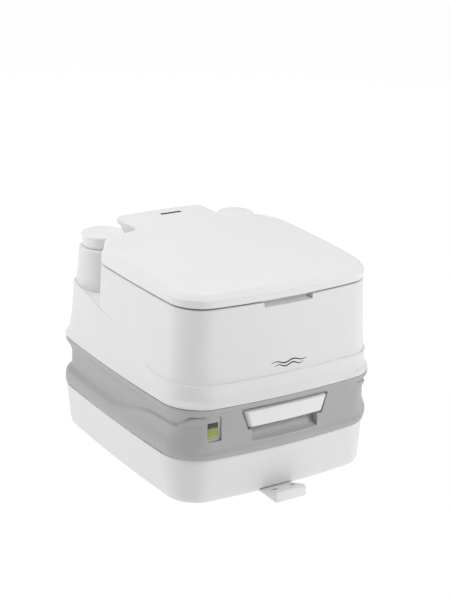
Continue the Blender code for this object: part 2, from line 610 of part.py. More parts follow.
join(flush_tank, block(69.0, 97.2, 170.0, 200.0, 287.0, 12.0, "hinge_block"))
for sgn in (-1, 1):
    x0, x1 = sorted((sgn * 60.2, sgn * 66.0))
    join(flush_tank, prism_x("hinge_ear_%d" % sgn, strap((140, 284.5), 4.6, (HINGE_Y, HINGE_Z), 5.4), x0, x1, cutter=True))
join(flush_tank, cylinder("spigot", 45.0, 12.2, (*BOWL_OUT, 145.9), seg=36, cutter=True))

# bowl: oval mouth funnelling to the round outlet
BOWL = [(138.0, 41, 41, -15), (163.0, 42.5, 42.5, -15), (181.0, 51, 53, -22), (205.0, 66, 72, -31), (235.0, 80, 90, -39),
        (262.0, 89, 101, -43), (273.0, 92.5, 104.5, -44), (278.4, 95.5, 107.5, -44), (292.0, 99, 111, -44)]


def oval(a, b, yc, z, n=32, p=2.25):
    out = []
    for i in range(n):
        t = 2 * math.pi * (i + 0.5) / n
        c, s = math.cos(t), math.sin(t)
        out.append((math.copysign(abs(c) ** (2 / p), c) * a, yc + math.copysign(abs(s) ** (2 / p), s) * b, z))
    return out


def bowl_rings(grow):
    return [oval(a + grow, b + grow, yc, z) for z, a, b, yc in BOWL]


cut(flush_tank, skin("bowl_cut", bowl_rings(0.0), cutter=True))

# water space round the bowl
water_rim = [poly(coarse(inset(RIM, 5.0)), 147.6)]
water = skin("water", water_rim + [base_ring(0.05, WALL, 0.0, coarse), base_ring(1.0, WALL, -WALL - 1.4, coarse),
                             base_ring(1.0, WALL + 3.0, -WALL, coarse)], cutter=True,
             ruled_top=True)
join(water, skin("water_column", [poly(coarse(inset(column_sec(z), d)), z) for z, d in
                                  ((157.0, WALL + 4), (200.0, WALL + 0.5), (231.0, WALL), (273.5, WALL), (276.3, WALL + 2.5))],
                 cutter=True))
join(water, cylinder("water_filler", 32.5, 90, (-TOWER[0], TOWER[1], 236.4), seg=28, cutter=True))
join(water, cylinder("water_pump", 32.5, 60, (TOWER[0], TOWER[1], 229), seg=28, cutter=True))
join(water, block(65.6, 80.0, 166.6, 190.0, 283.6, 9.0, "water_block"))
cut(water, skin("bowl_keep", bowl_rings(WALL), cutter=True))
cut(water, box("scoop_keep", -42.5, 42.5, -205, -165.4, 269.2, 292, cutter=True))
cut(flush_tank, water)
cut(flush_tank, cylinder("filler_hole", 23.0, 60, (-TOWER[0], TOWER[1], 290), seg=28, cutter=True))
cut(flush_tank, cylinder("pump_well", 30.2, 60, (TOWER[0], TOWER[1], 292), seg=32, cutter=True))
cut(flush_tank, cylinder("pump_hole", 20.5, 60, (TOWER[0], TOWER[1], 270), seg=28, cutter=True))
cut(flush_tank, cylinder("nozzle_hole", 4.3, 30, (0, 64, 264), "Y", 14, cutter=True))
# shallow finger scoop under the lid's front edge
scoop = prism_x("finger_scoop", [(-200, 272.6), (-179, 272.6), (-168.6, 275.2), (-168.6, 290), (-200, 290)], -39, 39,
                cutter=True)
cut(flush_tank, scoop)
# recess in the rear rim for the latch hook
cut(flush_tank, box("hook_recess", LATCH[0] - 21, LATCH[0] + 21, 184.4, 215, 138, 152.4, cutter=True))
cut(flush_tank, box("hook_recess_up", LATCH[0] - 21, LATCH[0] + 21, 177.8, 215, 151.8, 161, cutter=True))
cut(flush_tank, cylinder("hinge_bore_t", 3.4, 160, (0, HINGE_Y, HINGE_Z), "X", 16, cutter=True))
finish(flush_tank, "white")


# ---------------------------------------------------------------- lid
def lid_outline(d, tongue=True):
    """Plan of the lid: bowed front, round rear corners, notches round the towers, rear tongue."""
    hw, sb, yf, bow, yr, rf, rr = LIDS
    pts = []

    def arc(cx, cy, r, a0, a1, n):
        for i in range(n + 1):
            a = math.radians(a0 + (a1 - a0) * i / n)
            pts.append((cx + r * math.cos(a), cy + r * math.sin(a)))

    def run(b, n):
        a = pts[-1]
        for i in range(1, n):
            pts.append((a[0] + (b[0] - a[0]) * i / n, a[1] + (b[1] - a[1]) * i / n))

    arc(-hw + rf, -yf + rf, rf - d, 180, 270, 6)
    run((hw - rf, -yf + d), 8)
    arc(hw - rf, -yf + rf, rf - d, 270, 360, 6)
    run((hw - d, yr - rr), 6)
    arc(hw - rr, yr - rr, rr - d, 0, 90, 6)
    tr = max(12.0 - d, 2.0)
    tx, ty = TONGUE - d - tr, TONGUE_REAR - d - tr
    arc(TONGUE + NOTCH_R, yr + NOTCH_R, NOTCH_R + d, 270, 180, 5)
    run((TONGUE - d, ty), 3)
    arc(tx, ty, tr, 0, 90, 3)
    run((-tx, TONGUE_REAR - d), 6)
    arc(-tx, ty, tr, 90, 180, 3)
    run((-TONGUE + d, yr + NOTCH_R), 3)
    arc(-TONGUE - NOTCH_R, yr + NOTCH_R, NOTCH_R + d, 0, -90, 5)
    arc(-hw + rr, yr - rr, rr - d, 90, 180, 6)
    run((-hw + d, -yf + rf), 6)
    ym, hy = (yr - yf) / 2, (yr + yf) / 2
    out = []
    for x, y in pts:
        fr = min(max(-y / yf, 0.0), 1.0)
        ny = y - bow * (1 - (x / hw) ** 2) * fr ** 2
        nx = x
        if y < yr:
            nx = x + math.copysign(sb * max(0.0, 1 - ((y - ym) / hy) ** 2) * min(abs(x) / hw, 1) ** 4, x)
        out.append((nx, ny))
    return out


def z_lid(x, y):
    """Crowned top of the lid."""
    t = min(max((TONGUE_REAR - y) / 350.0, 0.0), 1.0)
    return 313.0 - 11.0 * t ** 2.6 - 4.0 * (x / 150.0) ** 2


def lid_rings(shell):
    """shell = 0 for the outside, or the wall thickness for the inside."""
    base = lid_outline(shell)
    n = len(base)
    rear = [smooth(70, 95, y) if abs(x) < 140 else 0.0 for x, y in base]
    ridge_a, ridge_b = lid_outline(8.0 + shell), lid_outline(2.6 + shell)
    inner = lid_outline(30.0)
    low = [(x, y, (Z_LID if not shell else Z_LID - 12)) for x, y in base]
    edge, ridge, flat = [], [], []
    for i in range(n):
        w = rear[i]
        x, y = base[i]
        top = z_lid(x, y) - shell
        edge.append((x, y, (Z_LID_EDGE - shell * 0.6) * (1 - w) + (top - 2.6) * w))
        rx = ridge_a[i][0] * (1 - w) + ridge_b[i][0] * w
        ry = ridge_a[i][1] * (1 - w) + ridge_b[i][1] * w
        ridge.append((rx, ry, z_lid(rx, ry) - shell))
        fx, fy = inner[i]
        flat.append((fx, fy, z_lid(fx, fy) - shell))
    return [low, edge, ridge, flat]


lid = skin("lid", lid_rings(0.0), ruled_top=True, mid=lambda y: z_lid(0, y))
cut(lid, skin("lid_inside", lid_rings(2.6), cutter=True, ruled_top=True, mid=lambda y: z_lid(0, y) - 2.6))
cut(lid, box("tongue_relief", -90, 90, 150, 190, 270, 303.5, cutter=True))
for sgn in (-1, 1):
    x0, x1 = sorted((sgn * 51.0, sgn * 58.5))
    join(lid, prism_x("lid_lug_%d" % sgn, strap((HINGE_Y, HINGE_Z), 6.2, (HINGE_Y - 4, HINGE_Z + 5.4), 4.4), x0, x1, cutter=True))
cut(lid, cylinder("hinge_bore_l", 3.4, 160, (0, HINGE_Y, HINGE_Z), "X", 16, cutter=True))
finish(lid, "lid")

# ---------------------------------------------------------------- seat
def seat_sec(d):
    hw, sb, yf, bow, yr, rf, rr = LIDS
    return (hw - 7 - d, sb, yf - 7 - d, bow, 91.0 - d, rf - 7 - d, rr - 7 - d)


seat = skin("seat", [poly(outline(seat_sec(1.0)), 283.0), poly(outline(seat_sec(0.0)), 285.0), poly(outline(seat_sec(0.0)), 290.5),
                     poly(outline(seat_sec(3.0)), 293.5)])
hollow = skin("seat_hollow", [poly(coarse(seat_sec(4.0)), 276.0), poly(coarse(seat_sec(4.0)), 288.4), poly(coarse(seat_sec(7.0)), 290.2)],
              cutter=True)
cut(hollow, skin("seat_rim_keep", [oval(92, 104, -44, 270), oval(84, 96, -44, 284), oval(84, 96, -44, 289),
                                   oval(92, 104, -44, 297)], cutter=True))
for i, (x, y) in enumerate(((-112, -128), (112, -128), (122, 52), (-122, 52))):
    cut(hollow, cylinder("pad_boss_%d" % i, 8.2, 40, (x, y, 284), seg=16, cutter=True))
cut(seat, hollow)
join(seat, box("seat_plate", -46, 46, 80, 150, 288.2, 293.5, cutter=True))
for sgn in (-1, 1):
    x0, x1 = sorted((sgn * 31.0, sgn * 45.5))
    join(seat, prism_x("seat_arm_%d" % sgn, strap((146, 291.2), 2.8, (HINGE_Y, HINGE_Z), 6.2), x0, x1, cutter=True))
cut(seat, skin("seat_hole", [oval(88, 100, -44, 270), oval(80, 92, -44, 284), oval(80, 92, -44, 289),
                             oval(88, 100, -44, 297)], cutter=True))
cut(seat, cylinder("hinge_bore_s", 3.4, 160, (0, HINGE_Y, HINGE_Z), "X", 16, cutter=True))
finish(seat, "lid")
for i, (x, y) in enumerate(((-112, -128), (112, -128), (122, 52), (-122, 52))):
    pad = cylinder("seat_pad_%d" % (i + 1), 7.0, 2.6, (x, y, 281.4), seg=16)
    finish(pad, "rubber")
for tag, x in (("left", -104.0), ("right", 104.0)):
    h = z_lid(x, -96) - 2.6 - 1.2 - 293.9
    pad = cylinder("lid_pad_" + tag, 5.5, h, (x, -96, 293.9 + h / 2), seg=16)
    finish(pad, "rubber")
for tag, sgn in (("left", -1), ("right", 1)):
    pin = cylinder("hinge_pin_" + tag, 3.0, 40, (sgn * 49.0, HINGE_Y, HINGE_Z), "X", 16)
    finish(pin, "steel")

# ---------------------------------------------------------------- filler cap
fx, fy = -TOWER[0], TOWER[1]
filler_cap = turned("filler_cap", [(0, 305.2), (27.5, 305.0), (30.4, 304.2), (31.2, 302.6), (31.2, 300.6), (30.2, 300.2),
                                   (29.8, 287.6), (27.6, 287.6), (27.6, 299.6), (0, 299.6)], (fx, fy, 0), 32)
finish(filler_cap, "lid")
filler_seal = ring("filler_seal", 21.0, 26.6, 297.3, 299.3, (fx, fy), 28)
finish(filler_seal, "rubber")

# ---------------------------------------------------------------- bellows pump
px, py = TOWER
pump_knob = turned("pump_knob", [(0, 305.2), (23.5, 304.9), (27.0, 303.6), (28.2, 301.2), (28.2, 288.0), (26.4, 288.0),
                                 (26.4, 302.2), (0, 302.2)], (px, py, 0), 32)
finish(pump_knob, "lid")
prof = [(0.0, 301.8), (22.0, 301.8)]
ribs = 6
for i in range(ribs):
    zc = 300.0 - i * 5.6
    prof += [(25.2, zc), (21.6, zc - 2.8)]
prof += [(24.8, 264.9), (22.8, 264.9)]
inner = [(19.6, 264.9 + 2.0)]
for i in reversed(range(ribs)):
    zc = 300.0 - i * 5.6
    inner += [(19.6, zc - 2.8), (23.2, zc)]
inner += [(20.0, 300.4), (0.0, 300.4)]
pump_bellows = turned("pump_bellows", prof + inner, (px, py, 0), 24)
finish(pump_bellows, "grey")
pump_body = turned("pump_body", [(17.4, 264.6), (29.4, 264.6), (29.4, 262.3), (20.1, 262.3), (20.1, 224), (17, 221.5),
                                 (7.6, 221.5), (7.6, 224.3), (16.0, 224.3), (17.4, 225.6)], (px, py, 0), 28, True)
finish(pump_body, "blade")
suction_tube = tube("suction_tube", [(px, py, 223.8), (px, py, 190), (px, py, 152.0)], 5.5, res=2)
cut(suction_tube, tube("suction_bore", [(px, py, 230), (px, py, 145)], 3.6, cutter=True, res=2))
finish(suction_tube, "blade")
hose = []
ctrl = [(px - 12, py - 3, 221.2), (px - 13, py - 5, 210), (px - 24, py - 16, 198), (px - 48, 98, 195), (42, 87, 206),
        (22, 84, 234), (7, 86, 256), (1, 83, 263.6), (0.0, 76.0, 264)]
for i in range(len(ctrl) - 1):
    p0, p1, p2, p3 = (Vector(ctrl[max(i - 1, 0)]), Vector(ctrl[i]), Vector(ctrl[i + 1]), Vector(ctrl[min(i + 2, len(ctrl) - 1)]))
    for k in range(3):
        t = k / 3
        hose.append(tuple(0.5 * ((2 * p1) + (p2 - p0) * t + (2 * p0 - 5 * p1 + 4 * p2 - p3) * t * t
                                 + (3 * p1 - p0 - 3 * p2 + p3) * t ** 3)))
hose.append(ctrl[-1])
flush_hose = tube("flush_hose", hose, 4.0, res=2)
finish(flush_hose, "blade")
flush_nozzle = cylinder("flush_nozzle", 3.9, 22.0, (0, 64.6, 264), "Y", 14)
finish(flush_nozzle, "grey")
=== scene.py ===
"""Looks for the portable two-tank toilet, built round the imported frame.

Fine meshes replace the moulded CAD shells; small fittings are turned or lofted here; every surface has a node material.
Lengths are in millimetres until MM turns them into metres.
"""
import bpy
import bmesh
import math
from mathutils import Matrix, Vector


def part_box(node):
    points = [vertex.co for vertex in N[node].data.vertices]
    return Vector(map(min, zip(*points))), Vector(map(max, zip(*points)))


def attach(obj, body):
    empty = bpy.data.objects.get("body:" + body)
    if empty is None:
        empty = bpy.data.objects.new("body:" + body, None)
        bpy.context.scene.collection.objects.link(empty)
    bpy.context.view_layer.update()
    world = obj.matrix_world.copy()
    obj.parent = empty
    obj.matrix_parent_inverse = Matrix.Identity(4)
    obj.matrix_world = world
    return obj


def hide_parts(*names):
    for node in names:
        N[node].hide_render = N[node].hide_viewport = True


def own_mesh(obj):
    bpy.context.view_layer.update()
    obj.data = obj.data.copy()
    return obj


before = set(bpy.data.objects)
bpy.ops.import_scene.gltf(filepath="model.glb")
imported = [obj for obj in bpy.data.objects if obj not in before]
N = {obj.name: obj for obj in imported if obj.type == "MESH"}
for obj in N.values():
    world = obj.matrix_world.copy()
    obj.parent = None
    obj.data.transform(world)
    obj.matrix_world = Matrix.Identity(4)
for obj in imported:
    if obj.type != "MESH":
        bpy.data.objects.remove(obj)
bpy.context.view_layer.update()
MM = 0.001

RIM = (163.9, 7.1, 179.1, 11.9, 191.0, 46.0, 46.0)
LIDS = (154.4, 3.3, 166.2, 13.1, 97.0, 40.0, 45.0)
FOOT = (156.8, 5.4, 171.6, 10.4, 183.0, 37.0, 40.0)
BELT = (165.0, 4.2, 173.9, 12.0, 187.0, 50.0, 48.0)
TOWER = (115.5, 132.5)
HINGE_Y, HINGE_Z = 162.0, 302.0
SPLIT = 22.0
made = []


# ------------------------------------------------------------------ numbers
def lerp(a, b, t):
    return tuple(p + (q - p) * t for p, q in zip(a, b))


def smooth(a, b, v):
    t = min(max((v - a) / (b - a), 0.0), 1.0)
    return t * t * (3 - 2 * t)


def inset(sec, side, front=None, rear=None):
    front = side if front is None else front
    rear = side if rear is None else rear
    hw, sb, yf, bow, yr, rf, rr = sec
    return (hw - side, sb, yf - front, bow, yr - rear, max(rf - 0.8 * side, 8.0), max(rr - 0.8 * side, 8.0))


def table(pts):
    """Monotone cubic through (x, y) pairs."""
    xs, ys = [p[0] for p in pts], [p[1] for p in pts]
    n = len(xs)
    d = [(ys[i + 1] - ys[i]) / (xs[i + 1] - xs[i]) for i in range(n - 1)]
    m = [d[0]] + [0.0 if d[i - 1] * d[i] <= 0 else 2 * d[i - 1] * d[i] / (d[i - 1] + d[i]) for i in range(1, n - 1)] + [d[-1]]

    def f(x):
        if x <= xs[0]:
            return ys[0]
        if x >= xs[-1]:
            return ys[-1]
        i = max(k for k in range(n - 1) if xs[k] <= x)
        h = xs[i + 1] - xs[i]
        t = (x - xs[i]) / h
        return ((2 * t ** 3 - 3 * t * t + 1) * ys[i] + (t ** 3 - 2 * t * t + t) * h * m[i]
                + (3 * t * t - 2 * t ** 3) * ys[i + 1] + (t ** 3 - t * t) * h * m[i + 1])
    return f


def outline(sec, nc=12, nf=26, n1=18, n2=12, nr=22):
    """Bowed rounded rectangle; the side runs are split at SPLIT so that unlike sections pair up."""
    hw, sb, yf, bow, yr, rf, rr = sec
    pts = []

    def arc(cx, cy, r, a0):
        for i in range(nc + 1):
            a = math.radians(a0 + 90.0 * i / nc)
            pts.append((cx + r * math.cos(a), cy + r * math.sin(a)))

    def run(b, n, last=False):
        a = pts[-1]
        for i in range(1, n + (1 if last else 0)):
            pts.append((a[0] + (b[0] - a[0]) * i / n, a[1] + (b[1] - a[1]) * i / n))

    arc(-hw + rf, -yf + rf, rf, 180)
    run((hw - rf, -yf), nf)
    arc(hw - rf, -yf + rf, rf, 270)
    run((hw, SPLIT), n1, True)
    run((hw, yr - rr), n2)
    arc(hw - rr, yr - rr, rr, 0)
    run((-hw + rr, yr), nr)
    arc(-hw + rr, yr - rr, rr, 90)
    run((-hw, SPLIT), n2, True)
    run((-hw, -yf + rf), n1)
    ym, hy = (yr - yf) / 2, (yr + yf) / 2
    out = []
    for x, y in pts:
        fr = min(max(-y / yf, 0.0), 1.0)
        out.append((x + math.copysign(sb * max(0.0, 1 - ((y - ym) / hy) ** 2) * min(abs(x) / hw, 1) ** 2, x),
                    y - bow * (1 - (x / hw) ** 2) * fr ** 2))
    return out


# ------------------------------------------------------------------ mesh helpers
def from_bm(name, bm):
    me = bpy.data.meshes.new(name)
    bm.to_mesh(me)
    bm.free()
    obj = bpy.data.objects.new(name, me)
    bpy.context.scene.collection.objects.link(obj)
    return obj


def loft(name, rings, cap_low=True, cap_high=True, closed=False):
    bm = bmesh.new()
    vs = [[bm.verts.new((x * MM, y * MM, z * MM)) for x, y, z in r] for r in rings]
    n = len(rings[0])
    pairs = list(zip(vs, vs[1:])) + ([(vs[-1], vs[0])] if closed else [])
    for lo, hi in pairs:
        for i in range(n):
            j = (i + 1) % n
            bm.faces.new((lo[i], lo[j], hi[j], hi[i]))
    if cap_low and not closed:
        bm.faces.new(vs[0][::-1])
    if cap_high and not closed:
        bm.faces.new(vs[-1])
    bmesh.ops.recalc_face_normals(bm, faces=bm.faces)
    return from_bm(name, bm)


def poly(points, z):
    return [(x, y, z) for x, y in points]


def fill_across(bm, ring, pts, crown, step, up):
    """Fills a left-right symmetric ring with cross rows, each row lifted to the crown."""
    n = len(pts)
    left = [i for i in range(n) if pts[i][0] < -1e-6]
    pair = {i: min(range(n), key=lambda k: (pts[k][0] + pts[i][0]) ** 2 + (pts[k][1] - pts[i][1]) ** 2) for i in left}
    cen = [i for i in range(n) if abs(pts[i][0]) <= 1e-6]
    front, rear = min(cen, key=lambda i: pts[i][1]), max(cen, key=lambda i: pts[i][1])
    order, i = [], front
    while i != rear:
        order.append(i)
        i = (i - 1) % n
    order.append(rear)
    groups = []
    for i in order:
        if groups and abs(pts[i][1] - pts[groups[-1][0]][1]) < 0.02:
            groups[-1].append(i)
        else:
            groups.append([i])
    prev = None
    for g in groups:
        y = pts[g[0]][1]
        ls = [i for i in g if i not in (front, rear)]
        core = [ring[i] for i in g if i in (front, rear)]
        inner = []
        if not core and ls:
            xi = abs(pts[ls[-1]][0])
            k = max(2, int(2 * xi / step))
            for c in range(1, k):
                x = -xi + 2 * xi * c / k
                inner.append(bm.verts.new((x * MM, y * MM, crown(x, y) * MM)))
        full = [ring[i] for i in ls] + (core or inner) + [ring[pair[i]] for i in reversed(ls)]
        tail = ([ring[ls[-1]]] if ls else []) + (core or inner) + ([ring[pair[ls[-1]]]] if ls else [])
        if prev is not None:
            a, b = prev, full
            ia = ib = 0
            while ia < len(a) - 1 or ib < len(b) - 1:
                if ib >= len(b) - 1 or (ia < len(a) - 1 and a[ia + 1].co.x < b[ib + 1].co.x):
                    tri = (a[ia], a[ia + 1], b[ib])
                    ia += 1
                else:
                    tri = (a[ia], b[ib + 1], b[ib])
                    ib += 1
                if len(set(tri)) == 3:
                    try:
                        bm.faces.new(tri if up else tri[::-1])
                    except ValueError:
                        pass
        prev = tail


def box(x0, x1, y0, y1, z0, z1, name="t", bevel=0.0, seg=3):
    bm = bmesh.new()
    bmesh.ops.create_cube(bm, size=1.0)
    bmesh.ops.scale(bm, vec=((x1 - x0) * MM, (y1 - y0) * MM, (z1 - z0) * MM), verts=bm.verts)
    bmesh.ops.translate(bm, vec=((x0 + x1) / 2 * MM, (y0 + y1) / 2 * MM, (z0 + z1) / 2 * MM), verts=bm.verts)
    if bevel:
        bmesh.ops.bevel(bm, geom=bm.edges[:], offset=bevel * MM, segments=seg, affect="EDGES", profile=0.5)
    return from_bm(name, bm)


def rot_for(axis):
    return {"Z": Matrix.Identity(4), "X": Matrix.Rotation(math.pi / 2, 4, "Y"), "-X": Matrix.Rotation(-math.pi / 2, 4, "Y"),
            "Y": Matrix.Rotation(-math.pi / 2, 4, "X"), "-Y": Matrix.Rotation(math.pi / 2, 4, "X")}[axis]


def lathe(profile, at=(0, 0, 0), steps=72, closed=False, axis="Z", name="t", flutes=0, depth=0.0, frange=None):
    """Turns (radius, height) points about an axis; flutes ripple the radius between two heights."""
    bm = bmesh.new()
    rows = []
    for r, z in profile:
        if r < 1e-6:
            rows.append([bm.verts.new((0, 0, z * MM))])
            continue
        row = []
        for i in range(steps):
            a = 2 * math.pi * i / steps
            rr = r
            if flutes and frange[0] <= z <= frange[1]:
                rr -= depth * (0.5 - 0.5 * math.cos(flutes * a)) ** 2
            row.append(bm.verts.new((rr * math.cos(a) * MM, rr * math.sin(a) * MM, z * MM)))
        rows.append(row)
    pairs = list(zip(rows, rows[1:])) + ([(rows[-1], rows[0])] if closed else [])
    for a, b in pairs:
        for i in range(steps):
            j = (i + 1) % steps
            if len(a) == 1 and len(b) == 1:
                continue
            if len(a) == 1:
                bm.faces.new((a[0], b[i], b[j]))
            elif len(b) == 1:
                bm.faces.new((a[i], a[j], b[0]))
            else:
                bm.faces.new((a[i], a[j], b[j], b[i]))
    bmesh.ops.recalc_face_normals(bm, faces=bm.faces)
    m = Matrix.Translation(Vector(at) * MM) @ rot_for(axis)
    bmesh.ops.transform(bm, matrix=m, verts=bm.verts)
    return from_bm(name, bm)


def prism(pts, lo, hi, axis, name="t"):
    """Outline extruded along X (points are y, z) or Y (points are x, z)."""
    bm = bmesh.new()
    vs = [bm.verts.new((lo * MM, a * MM, b * MM) if axis == "X" else (a * MM, lo * MM, b * MM)) for a, b in pts]
    f = bm.faces.new(vs)
    g = bmesh.ops.extrude_face_region(bm, geom=[f])
    d = (hi - lo) * MM
    bmesh.ops.translate(bm, vec=(d, 0, 0) if axis == "X" else (0, d, 0),
                        verts=[e for e in g["geom"] if isinstance(e, bmesh.types.BMVert)])
    bmesh.ops.recalc_face_normals(bm, faces=bm.faces)
    return from_bm(name, bm)


def round_poly(pts, r, n=5):
    """Rounds each corner of a convex or concave polygon."""
    out = []
    k = len(pts)
    for i in range(k):
        p, a, b = Vector(pts[i]), Vector(pts[i - 1]), Vector(pts[(i + 1) % k])
        u, v = (a - p), (b - p)
        rr = r[i] if isinstance(r, (list, tuple)) else r
        if rr <= 0:
            out.append(tuple(p))
            continue
        ang = u.angle(v)
        t = min(rr / math.tan(ang / 2), 0.45 * u.length, 0.45 * v.length)
        s, e = p + u.normalized() * t, p + v.normalized() * t
        for q in range(n + 1):
            w = q / n
            out.append(tuple((1 - w) ** 2 * s + 2 * w * (1 - w) * p + w * w * e))
    return out


def strap(a, ra, b, rb, n=12):
    dy, dz = b[0] - a[0], b[1] - a[1]
    d = math.hypot(dy, dz)
    base, off = math.atan2(dz, dy), math.acos((ra - rb) / d)
    pts = [(a[0] + ra * math.cos(base + off + (2 * math.pi - 2 * off) * i / n),
            a[1] + ra * math.sin(base + off + (2 * math.pi - 2 * off) * i / n)) for i in range(n + 1)]
    pts += [(b[0] + rb * math.cos(base - off + 2 * off * i / n), b[1] + rb * math.sin(base - off + 2 * off * i / n))
            for i in range(n + 1)]
    return pts


def cut(obj, tools, op="DIFFERENCE"):
    """Applies a boolean with each tool and removes the tools."""
    for t in (tools if isinstance(tools, (list, tuple)) else [tools]):
        m = obj.modifiers.new("b", "BOOLEAN")
        m.operation = op
        m.solver = "EXACT"
        m.object = t
        bpy.context.view_layer.update()
        me = bpy.data.meshes.new_from_object(obj.evaluated_get(bpy.context.evaluated_depsgraph_get()))
        obj.modifiers.clear()
        old = obj.data
        obj.data = me
        bpy.data.meshes.remove(old)
        bpy.data.objects.remove(t, do_unlink=True)
    return obj


def join(obj, tools):
    return cut(obj, tools, "UNION")


def seal(obj, angle=30.0, weld=0.004):
    """Cleans and shades a finished mesh."""
    bm = bmesh.new()
    bm.from_mesh(obj.data)
    bmesh.ops.remove_doubles(bm, verts=bm.verts, dist=weld * MM)
    bmesh.ops.dissolve_degenerate(bm, edges=bm.edges, dist=0.001 * MM)
    bm.to_mesh(obj.data)
    bm.free()
    obj.data.shade_smooth()
    obj.data.set_sharp_from_angle(angle=math.radians(angle))
    return obj


def edge_round(obj, width, seg=2, angle=35.0):
    m = obj.modifiers.new("edge", "BEVEL")
    m.width = width * MM
    m.segments = seg
    m.limit_method = "ANGLE"
    m.angle_limit = math.radians(angle)
    m.harden_normals = False
    bpy.context.view_layer.update()
    me = bpy.data.meshes.new_from_object(obj.evaluated_get(bpy.context.evaluated_depsgraph_get()))
    obj.modifiers.clear()
    obj.data = me
    return obj


def place(obj, name, mat, body, slot, *nodes, angle=30.0):
    obj.name = name
    seal(obj, angle)
    obj.data.materials.clear()
    obj.data.materials.append(mat)
    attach(obj, body)
    if nodes:
        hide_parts(*nodes)
    made.append(obj)
    return obj


# ------------------------------------------------------------------ materials
def plastic(name, colour, rough=0.42, grain=0.05, scale=900.0, mottle=0.02, edge=0.0007, coat=0.0, spec=0.45, wear=0.0):
    """Moulded plastic: fine spark-erosion grain, faint colour drift, painted shade in creases, uneven gloss, softly
    broken edges.
    """
    m = bpy.data.materials.new(name)
    m.use_nodes = True
    nt = m.node_tree
    b = nt.nodes["Principled BSDF"]
    b.inputs["Specular IOR Level"].default_value = spec
    b.inputs["Coat Weight"].default_value = coat
    tc = nt.nodes.new("ShaderNodeTexCoord")
    n1 = nt.nodes.new("ShaderNodeTexNoise")
    n1.inputs["Scale"].default_value = 14.0
    n1.inputs["Detail"].default_value = 5.0
    nt.links.new(tc.outputs["Object"], n1.inputs["Vector"])
    ramp = nt.nodes.new("ShaderNodeValToRGB")
    lo = tuple(max(c * (1 - mottle), 0) for c in colour)
    hi = tuple(min(c * (1 + mottle), 1) for c in colour)
    ramp.color_ramp.elements[0].position, ramp.color_ramp.elements[1].position = 0.3, 0.7
    ramp.color_ramp.elements[0].color = (*lo, 1)
    ramp.color_ramp.elements[1].color = (*hi, 1)
    nt.links.new(n1.outputs["Fac"], ramp.inputs["Fac"])
    # painted shade: ambient occlusion darkens the colour by a tenth in creases and tight gaps
    crease_shade = nt.nodes.new("ShaderNodeAmbientOcclusion")
    crease_shade.samples = 4
    crease_shade.inputs["Distance"].default_value = 0.003
    mix = nt.nodes.new("ShaderNodeMix")
    mix.data_type = "RGBA"
    # the painted shade colour, a tenth darker than the plastic
    mix.inputs[6].default_value = (*tuple(c * 0.90 for c in colour), 1)
    nt.links.new(crease_shade.outputs["AO"], mix.inputs[0])
    nt.links.new(ramp.outputs["Color"], mix.inputs[7])
    nt.links.new(mix.outputs[2], b.inputs["Base Color"])
    n2 = nt.nodes.new("ShaderNodeTexNoise")
    n2.inputs["Scale"].default_value = 60.0
    n2.inputs["Detail"].default_value = 3.0
    nt.links.new(tc.outputs["Object"], n2.inputs["Vector"])
    mr = nt.nodes.new("ShaderNodeMapRange")
    mr.inputs["To Min"].default_value = rough - 0.05
    mr.inputs["To Max"].default_value = rough + 0.05
    nt.links.new(n2.outputs["Fac"], mr.inputs["Value"])
    nt.links.new(mr.outputs["Result"], b.inputs["Roughness"])
    n3 = nt.nodes.new("ShaderNodeTexNoise")
    n3.inputs["Scale"].default_value = scale
    n3.inputs["Detail"].default_value = 2.0
    nt.links.new(tc.outputs["Object"], n3.inputs["Vector"])
    bump = nt.nodes.new("ShaderNodeBump")
    bump.inputs["Strength"].default_value = grain
    bump.inputs["Distance"].default_value = 0.0004
    nt.links.new(n3.outputs["Fac"], bump.inputs["Height"])
    if edge:
        bev = nt.nodes.new("ShaderNodeBevel")
        bev.samples = 4
        bev.inputs["Radius"].default_value = edge
        nt.links.new(bev.outputs["Normal"], bump.inputs["Normal"])
    nt.links.new(bump.outputs["Normal"], b.inputs["Normal"])
    return m


def metal(name, colour, rough=0.28):
    m = bpy.data.materials.new(name)
    m.use_nodes = True
    nt = m.node_tree
    b = nt.nodes["Principled BSDF"]
    b.inputs["Metallic"].default_value = 1.0
    tc = nt.nodes.new("ShaderNodeTexCoord")
    mp = nt.nodes.new("ShaderNodeMapping")
    mp.inputs["Scale"].default_value = (900, 60, 60)
    nt.links.new(tc.outputs["Object"], mp.inputs["Vector"])
    n = nt.nodes.new("ShaderNodeTexNoise")
    n.inputs["Scale"].default_value = 3.0
    n.inputs["Detail"].default_value = 4.0
    nt.links.new(mp.outputs["Vector"], n.inputs["Vector"])
    r = nt.nodes.new("ShaderNodeMapRange")
    r.inputs["To Min"].default_value = rough - 0.08
    r.inputs["To Max"].default_value = rough + 0.12
    nt.links.new(n.outputs["Fac"], r.inputs["Value"])
    nt.links.new(r.outputs["Result"], b.inputs["Roughness"])
    c = nt.nodes.new("ShaderNodeValToRGB")
    c.color_ramp.elements[0].color = (*tuple(v * 0.82 for v in colour), 1)
    c.color_ramp.elements[1].color = (*colour, 1)
    nt.links.new(n.outputs["Fac"], c.inputs["Fac"])
    nt.links.new(c.outputs["Color"], b.inputs["Base Color"])
    bump = nt.nodes.new("ShaderNodeBump")
    bump.inputs["Strength"].default_value = 0.08
    bump.inputs["Distance"].default_value = 0.0002
    nt.links.new(n.outputs["Fac"], bump.inputs["Height"])
    nt.links.new(bump.outputs["Normal"], b.inputs["Normal"])
    return m


